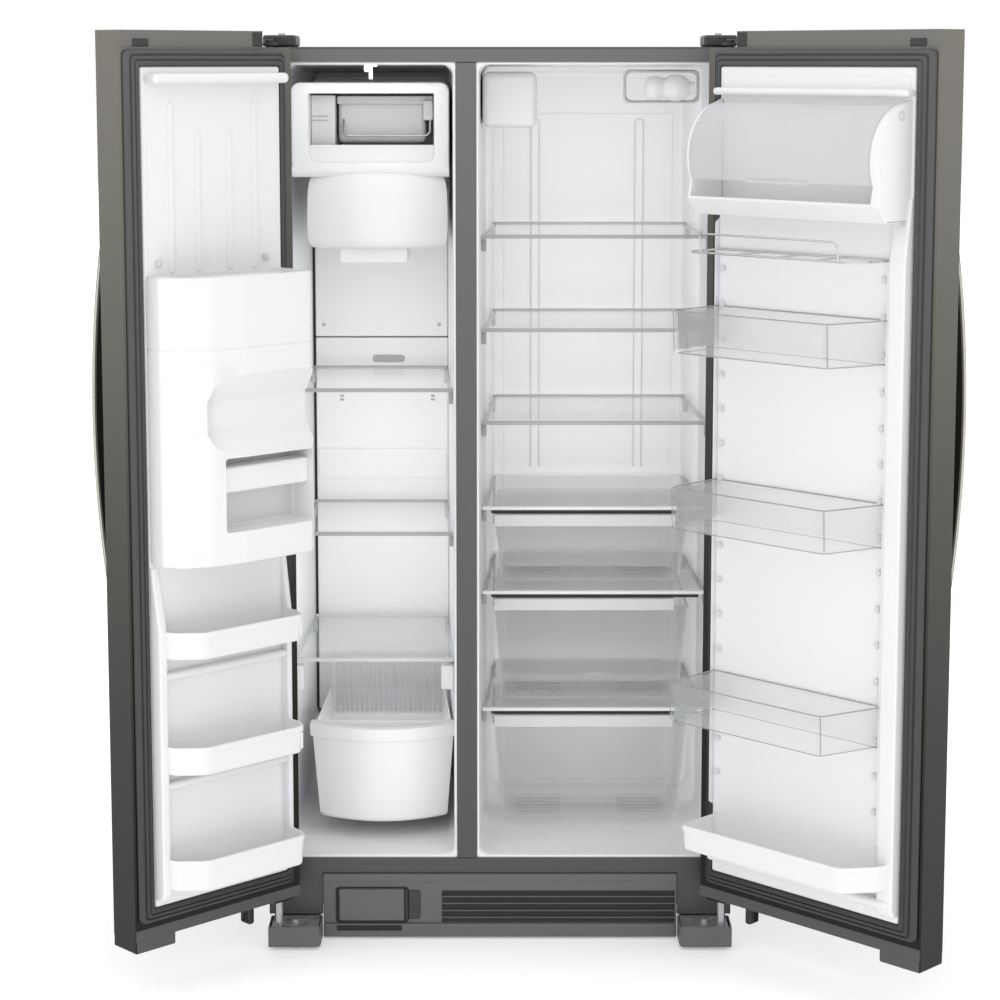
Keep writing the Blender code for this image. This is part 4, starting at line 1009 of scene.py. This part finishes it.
def freezer_door_inside():
    door = FREEZER
    shapes = door_panel(door, (0.0372, 0.3498), ((0.0385, 0.056, 0.036), (0.337, 0.349, 0.03)), 0.808)
    ledge = part(door, (0.043, 0.346), (0.006, 0.046), (1.6765, 1.6955), 0.0085, 4)
    shapes.append(ledge)
    for t, top in ((0.0975, 1.643), (0.157, 1.593), (0.228, 1.594), (0.286, 1.646)):
        x = door.x(t)
        outline = [(x - 0.0055, 1.34), (x + 0.0055, 1.34), (x + 0.0055, top - 0.006), (x + 0.002, top),
                   (x - 0.002, top), (x - 0.0055, top - 0.006)]
        shapes.append(prism(outline, door.y(0.01), door.y(0.015), "y", 0.0018, 3))
    for z in (0.597, 0.392):
        shapes.append(part(door, (0.05, 0.338), (0.006, 0.03), (z, z + 0.014), 0.006, 3))
    piece("freezer_door_panel", shapes, "white", door.name, stands_for=("freezer_door_liner",))
    clips = [part(door, (t, t + 0.01), (0.01, 0.022), (1.352, 1.364), 0.0025, 3) for t in (0.06, 0.303)]
    piece("freezer_door_clips", clips, "pale", door.name)

    low, high = HOUSING_LOW, HOUSING_HIGH
    plan = rounded(door.plan([(0.0405, 0.0123), (0.0405, 0.05), (0.062, 0.085), (0.11, 0.1075), (0.18, 0.1155),
                              (0.33, 0.1165), (0.3425, 0.1075), (0.3425, 0.0123)]),
                   [0, 0.02, 0.03, 0.04, 0.05, 0.008, 0.008, 0], 5)
    plan = turning(plan)
    rings = [at(inset(plan, step), z) for step, z in (
        (0.006, low), (0.0018, low + 0.0015), (0.0, low + 0.006), (0.0, 1.2045), (0.0012, 1.2057),
        (0.0012, 1.2067), (0.0, 1.208), (0.0, high - 0.006), (0.0018, high - 0.0015), (0.006, high))]
    body = loft(rings)
    mouth = door.plan([(0.07, 0.018), (0.07, 0.08), (0.32, 0.098), (0.32, 0.018)])
    mouth = turning(rounded(mouth, 0.016, 5))
    funnel = loft([at(inset(mouth, step), z) for step, z in ((0.04, 1.165), (0.012, 1.24), (0.0, 1.36))])
    scoop_side = [(0.16, 1.2), (0.112, 1.155), (0.082, 1.109), (0.082, 1.058), (0.118, 1.01), (0.16, 0.98)]
    steps = ((0.05, 0.07), (0.118, 0.004), (0.137, 0.0), (0.372, 0.0))
    scoop = loft([[(door.x(t), door.y(h + out), z) for h, z in scoop_side] for t, out in steps])
    opening = part(door, (0.137, 0.336), (0.052, 0.2), (0.872, 1.008), 0.006, 3)
    carve = carved(body, [funnel, soften(scoop, 0.006, 3), opening])
    bar = part(door, (0.135, 0.338), (0.06, 0.098), (0.942, 0.989), 0.005, 3)
    divider = part(door, (0.166, 0.17), (0.02, 0.09), (1.24, 1.322), 0.001, 2)
    piece("dispenser_housing_body", [carve, bar, divider], "white", door.name,
          stands_for=("dispenser_housing",))
    # The pale grey plate at the back of the dispensing opening is painted shade for the recess.
    back = part(door, (0.1375, 0.3355), (0.05, 0.053), (0.8725, 1.0075), 0.0005, 1)
    piece("dispenser_recess_shade_back", [back], "pale", door.name)

    tray = rounded(door.plan([(0.0435, 0.0124), (0.056, 0.05), (0.1, 0.0898), (0.325, 0.0898), (0.3395, 0.062),
                              (0.3395, 0.0124)]), [0, 0.02, 0.03, 0.014, 0.012, 0], 5)
    for name, bottom, top in WHITE_BINS:
        shell = tub(turning(tray), bottom, top, 0.0028, 0.0025, 0.005, 0.0012, 0.01)
        node = f"{name}_freezer_door_bin"
        extra = []
        if name != "lower":
            extra.append(part(door, (0.318, 0.3235), (0.088, 0.0912), (bottom + 0.01, top - 0.012), 0.001, 2))
        piece(f"{node}_tray", [shell, *extra], "white", door.name, stands_for=(node,))


def clear_bin(node, body, low, high):
    """A clear bin: sloping walls, a turned rim, a raised hook corner at the back and ribs at its hinge end."""
    door = FRIDGE
    plan = turning(rounded(door.plan([(0.081, 0.0126), (0.12, 0.147), (0.474, 0.147), (0.474, 0.0126)]),
                           [0.004, 0.02, 0.012, 0.004], 6))
    shell = tub(plan, low, high, 0.003, 0.005, 0.012, 0.0012, 0.007)
    hook = upright(door, (0.086, 0.0895), [(0.0126, high - 0.002), (0.045, high - 0.002), (0.03, high + 0.02),
                                           (0.018, high + 0.038), (0.0126, high + 0.038)], 0.002, 2)
    ends = [part(door, (t, t + 0.0022), (0.03, 0.1455), (low + 0.01, high - 0.003), 0.0008, 1)
            for t in (0.458, 0.467)]
    fin = prism([(door.x(0.435), low + 0.004), (door.x(0.444), low + 0.004), (door.x(0.44), low + 0.052)],
                door.y(0.1405), door.y(0.145), "y", 0.0008, 1)
    piece(f"{node}_shell", [shell, hook, *ends, fin], "clear", body, stands_for=(node,))
    # The grey tubes along the rim, round the floor and up the back corners are painted edge shade: the dark lines
    # that the edges of clear plastic show.
    rim_path = [(x, y, high - 0.001) for x, y in inset(plan, 0.0014)]
    foot_path = [(x, y, low + 0.003) for x, y in inset(plan, 0.0085)]
    corners = [tube(door.path([(t, 0.1425, low + 0.006), (t, 0.1455, high - 0.002)]), 0.0011, 8)
               for t in (0.1215, 0.4705)]
    rings = [tube(rim_path, 0.0014, 8, closed=True), tube(foot_path, 0.0011, 8, closed=True)]
    piece(f"{node}_rim", [*rings, *corners], "rim", body)


def fridge_door_inside():
    door = FRIDGE
    shapes = door_panel(door, (0.0422, 0.4778), ((0.043, 0.078, 0.03),), 1.48)
    shapes.append(upright(door, (0.0775, 0.088), [(0.004, 0.3), (0.022, 0.31), (0.022, 1.36), (0.01, 1.4),
                                                 (0.004, 1.4)], 0.004, 3))
    shapes.append(part(door, (0.043, 0.4775), (0.004, 0.034), (1.655, 1.6685), 0.006, 4))
    shapes.append(upright(door, (0.476, 0.4779), [(0.004, 0.3), (0.02, 0.31), (0.02, 1.42), (0.004, 1.43)]))
    shapes.append(part(door, (0.05, 0.47), (0.006, 0.036), (0.2, 0.215), 0.006, 3))
    low, high = DAIRY_LOW, DAIRY_HIGH
    side = [(0.01, low), (0.08, low), (0.106, low + 0.03)]
    side += [(DAIRY_AXIS[0] + 0.099 * math.cos(a), DAIRY_AXIS[1] + 0.099 * math.sin(a))
             for a in (math.radians(-26 + 8 * k) for k in range(14))]
    side += [(0.01, high)]
    for near, far in ((0.048, 0.0658), (0.4682, 0.4744)):
        shapes.append(upright(door, (near, far), side, 0.002, 2))
    shapes.append(part(door, (0.048, 0.474), (0.01, 0.08), (low, low + 0.004), 0.001, 2))
    lip = [(0.073, low), (0.08, low), (0.107, low + 0.03), (0.1035, low + 0.0345), (0.0995, low + 0.033)]
    shapes.append(upright(door, (0.0482, 0.4742), lip, 0.0014, 3))
    piece("fridge_door_panel", shapes, "white", door.name, stands_for=("fridge_door_liner",))
    heights = (1.335, 1.268, 1.202, 1.135, 1.071, 1.006, 0.94, 0.875, 0.811, 0.745, 0.679, 0.612,
               0.503, 0.437, 0.371)
    pegs = [turned([(0.0, 0.0), (0.0062, 0.0), (0.0062, 0.006), (0.005, 0.0076), (0.0, 0.008)],
                   (door.x(t), door.y(0.0115), z), (0, 1, 0), 16) for z in heights for t in (0.462, 0.0955)]
    ring = turned([(0.004, 0.0), (0.0095, 0.0), (0.0095, 0.0022), (0.0082, 0.0034), (0.004, 0.0034),
                   (0.004, 0.0)], (door.x(0.0478), door.y(0.0415), 1.623), (1, 0, 0), 24)
    piece("fridge_door_pegs", [*pegs, ring], "pale", door.name)

    grid = []
    for k in range(17):
        angle = math.radians(-24 + 6 * k)
        rise = DAIRY_AXIS[0] + 0.1008 * math.cos(angle)
        z = DAIRY_AXIS[1] + 0.1008 * math.sin(angle)
        grid.append([(door.x(t), door.y(rise), z) for t in (0.067, 0.0675, 0.2, 0.33, 0.4665, 0.467)])
    lid = sheet(grid, 0.0024)
    grip = [(0.1015, 1.5), (0.1085, 1.501), (0.109, 1.5055), (0.1025, 1.5075)]
    pull = upright(door, (0.2, 0.335), grip, 0.0012, 2)
    piece("dairy_lid_shell", [lid, pull], "frost", "dairy_lid", stands_for=("dairy_lid",))

    z, base = RACK_HEIGHT, 0.0153
    loop = door.path([(0.47, base, z), (0.47, 0.105, z), (0.11, 0.105, z), (0.085, 0.08, z),
                      (0.085, base, z)])
    guard = door.path([(0.44, 0.105, z), (0.44, 0.112, z + 0.035), (0.13, 0.112, z + 0.035),
                       (0.13, 0.105, z)])
    wires = [tube(loop, 0.0022, 12, bend=0.016), tube(guard, 0.0019, 12, bend=0.01)]
    wires += [tube(door.path([(t, base, z), (t, 0.104, z)]), 0.0018, 10) for t in (0.18, 0.27, 0.36)]
    wires.append(tube(door.path([(0.472, base, z), (0.083, base, z)]), 0.0022, 10))
    piece("wire_rack_wires", wires, "chrome", door.name, stands_for=("wire_rack",))

    for name, low, high in CLEAR_BINS:
        clear_bin(f"{name}_fridge_door_bin", f"{name}_door_bin", low, high)
    plan = turning(rounded(door.plan([(0.0475, 0.0125), (0.06, 0.05), (0.102, 0.1065), (0.474, 0.1065),
                                      (0.474, 0.0125)]), [0, 0.02, 0.03, 0.01, 0], 5))
    tray = tub(plan, 0.235, 0.284, 0.0028, 0.0025, 0.005, 0.001, 0.009)
    piece("bottom_fridge_door_bin_tray", [tray], "white", door.name, stands_for=("bottom_fridge_door_bin",))


def top_hinges():
    """A black arm on the cabinet's roof, with its pin, cover and bolts."""
    for name, side in (("freezer_top_hinge", -1), ("fridge_top_hinge", 1)):
        outline = [(0.415, 0.1), (0.415, -0.035), (0.4175, -0.052), (0.424, -0.0615), (0.437, -0.0615),
                   (0.4445, -0.052), (0.4468, -0.035), (0.4468, 0.1)]
        arm = prism(turning([(side * x, y) for x, y in outline]), 1.7446, 1.7506, radius=0.001, segments=2)
        cover_x = sorted((side * 0.3845, side * 0.4468))
        cover = block(cover_x, (0.002, 0.105), (CABINET_TOP + 0.0003, 1.765), 0.005, 4)
        pin = turned([(0, 0.0), (0.0062, 0.0), (0.0065, 0.0005), (0.0065, 0.042), (0.0085, 0.0425), (0.0085, 0.046),
                      (0.006, 0.048), (0, 0.048)], (side * PIVOT[0], PIVOT[1], 1.7096), (0, 0, 1), 24)
        piece(f"{name}_arm", [arm, cover, pin], "dark", stands_for=(name,))
        bolt = turned([(0, 0.0), (0.0065, 0.0), (0.0065, 0.0035), (0.0055, 0.0045), (0, 0.0045)],
                      (side * 0.415, 0.05, 1.7648), (0, 0, 1), 6)
        piece(f"{name}_bolt", [bolt], "silver")


def rear_details():
    """Screws round the back panel and the machine cover."""
    screws = [screw_head((x, 0.7052, z), (0, 1, 0)) for x in (-0.43, -0.215, 0.0, 0.215, 0.43)
              for z in (1.715, 0.32)]
    screws += [screw_head((x, 0.7052, z), (0, 1, 0)) for x in (-0.43, 0.43) for z in (0.7, 1.05, 1.4)]
    screws += [screw_head((x, 0.7047, z), (0, 1, 0)) for x in (-0.435, 0.0, 0.435) for z in (0.285, 0.065)]
    piece("rear_screws", screws, "silver")


compartment("freezer_face", FREEZER_OPENING)
compartment("fridge_face", FRIDGE_OPENING)
finish_kept()
seams()
freezer_inside()
ice_station()
freezer_drawer()
fridge_inside()
back_rib_shade_lines()
base_front()
for each in (FREEZER, FRIDGE):
    door_trims(each)
    handle(each)
gasket(FREEZER, (0.0365, 0.3505), "freezer_door_gasket")
gasket(FRIDGE, (0.0415, 0.4785), "fridge_door_gasket")
freezer_door_inside()
fridge_door_inside()
top_hinges()
rear_details()


# --- floor, light and camera -----------------------------------------------------------------------


def floor():
    nodes = Nodes("pale_floor", (0.93, 0.93, 0.93), 0.75)
    nodes.bump(nodes.noise(60.0), 0.0002, 0.1)
    nodes.tint(nodes.noise(2.0), (0.925, 0.925, 0.925), (0.935, 0.935, 0.935))
    nodes.set(nodes.shader, **{"Emission Color": (1.0, 1.0, 1.0, 1.0), "Emission Strength": 0.28})
    data = bpy.data.meshes.new("floor")
    reach = 30.0
    data.from_pydata([(-reach, -reach, 0), (reach, -reach, 0), (reach, reach, 0), (-reach, reach, 0)], [],
                     [(0, 1, 2, 3)])
    data.materials.append(nodes.material)
    ground = bpy.data.objects.new("floor", data)
    bpy.context.scene.collection.objects.link(ground)


def soft_light(name, place, target, size, power):
    data = bpy.data.lights.new(name, "AREA")
    data.shape, data.size, data.size_y, data.energy = "RECTANGLE", *size, power
    lamp = bpy.data.objects.new(name, data)
    lamp.location = place
    lamp.rotation_euler = (Vector(target) - Vector(place)).to_track_quat("-Z", "Y").to_euler()
    bpy.context.scene.collection.objects.link(lamp)


def studio():
    scene = bpy.context.scene
    scene.view_settings.view_transform = "Standard"
    world = bpy.data.worlds.new("studio")
    world.use_nodes = True
    world.node_tree.nodes["Background"].inputs["Color"].default_value = (1.0, 1.0, 1.0, 1.0)
    world.node_tree.nodes["Background"].inputs["Strength"].default_value = 1.0
    scene.world = world
    sun = bpy.data.objects.new("soft_sun", bpy.data.lights.new("soft_sun", "SUN"))
    sun.data.energy, sun.data.angle = 0.5, math.radians(80)
    sun.rotation_euler = (math.radians(32), 0.0, math.radians(-8))
    scene.collection.objects.link(sun)
    for name, opening, depth, middle_z, tall, power in (
        ("freezer_front_glow", FREEZER_OPENING, 0.012, 0.945, 1.51, 0.26),
        ("freezer_inner_glow", FREEZER_OPENING, 0.2, 0.77, 1.1, 0.8),
        ("freezer_ceiling_glow", FREEZER_OPENING, 0.02, 1.692, 0.028, 0.1),
        ("fridge_drawer_glow", FRIDGE_OPENING, 0.165, 0.5, 0.62, 0.45),
        ("fridge_front_glow", FRIDGE_OPENING, 0.012, 0.94, 1.48, 0.15),
        ("fridge_inner_glow", FRIDGE_OPENING, 0.33, 0.94, 1.48, 1.25),
    ):
        middle = CABINET @ Vector((sum(opening) / 2, depth, middle_z))
        size = (opening[1] - opening[0] - 0.07, tall)
        soft_light(name, middle, middle + Vector((0.0, 1.0, 0.0)), size, power)
    data = bpy.data.cameras.new("photo_camera")
    data.lens, data.shift_y = LENS, SHIFT
    camera = bpy.data.objects.new("photo_camera", data)
    camera.location = (-BOX_CENTRE[0], -CAMERA_DISTANCE, CAMERA_HEIGHT)
    camera.rotation_euler = (math.radians(CAMERA_TILT), 0.0, 0.0)
    scene.collection.objects.link(camera)
    scene.camera = camera


floor()
studio()
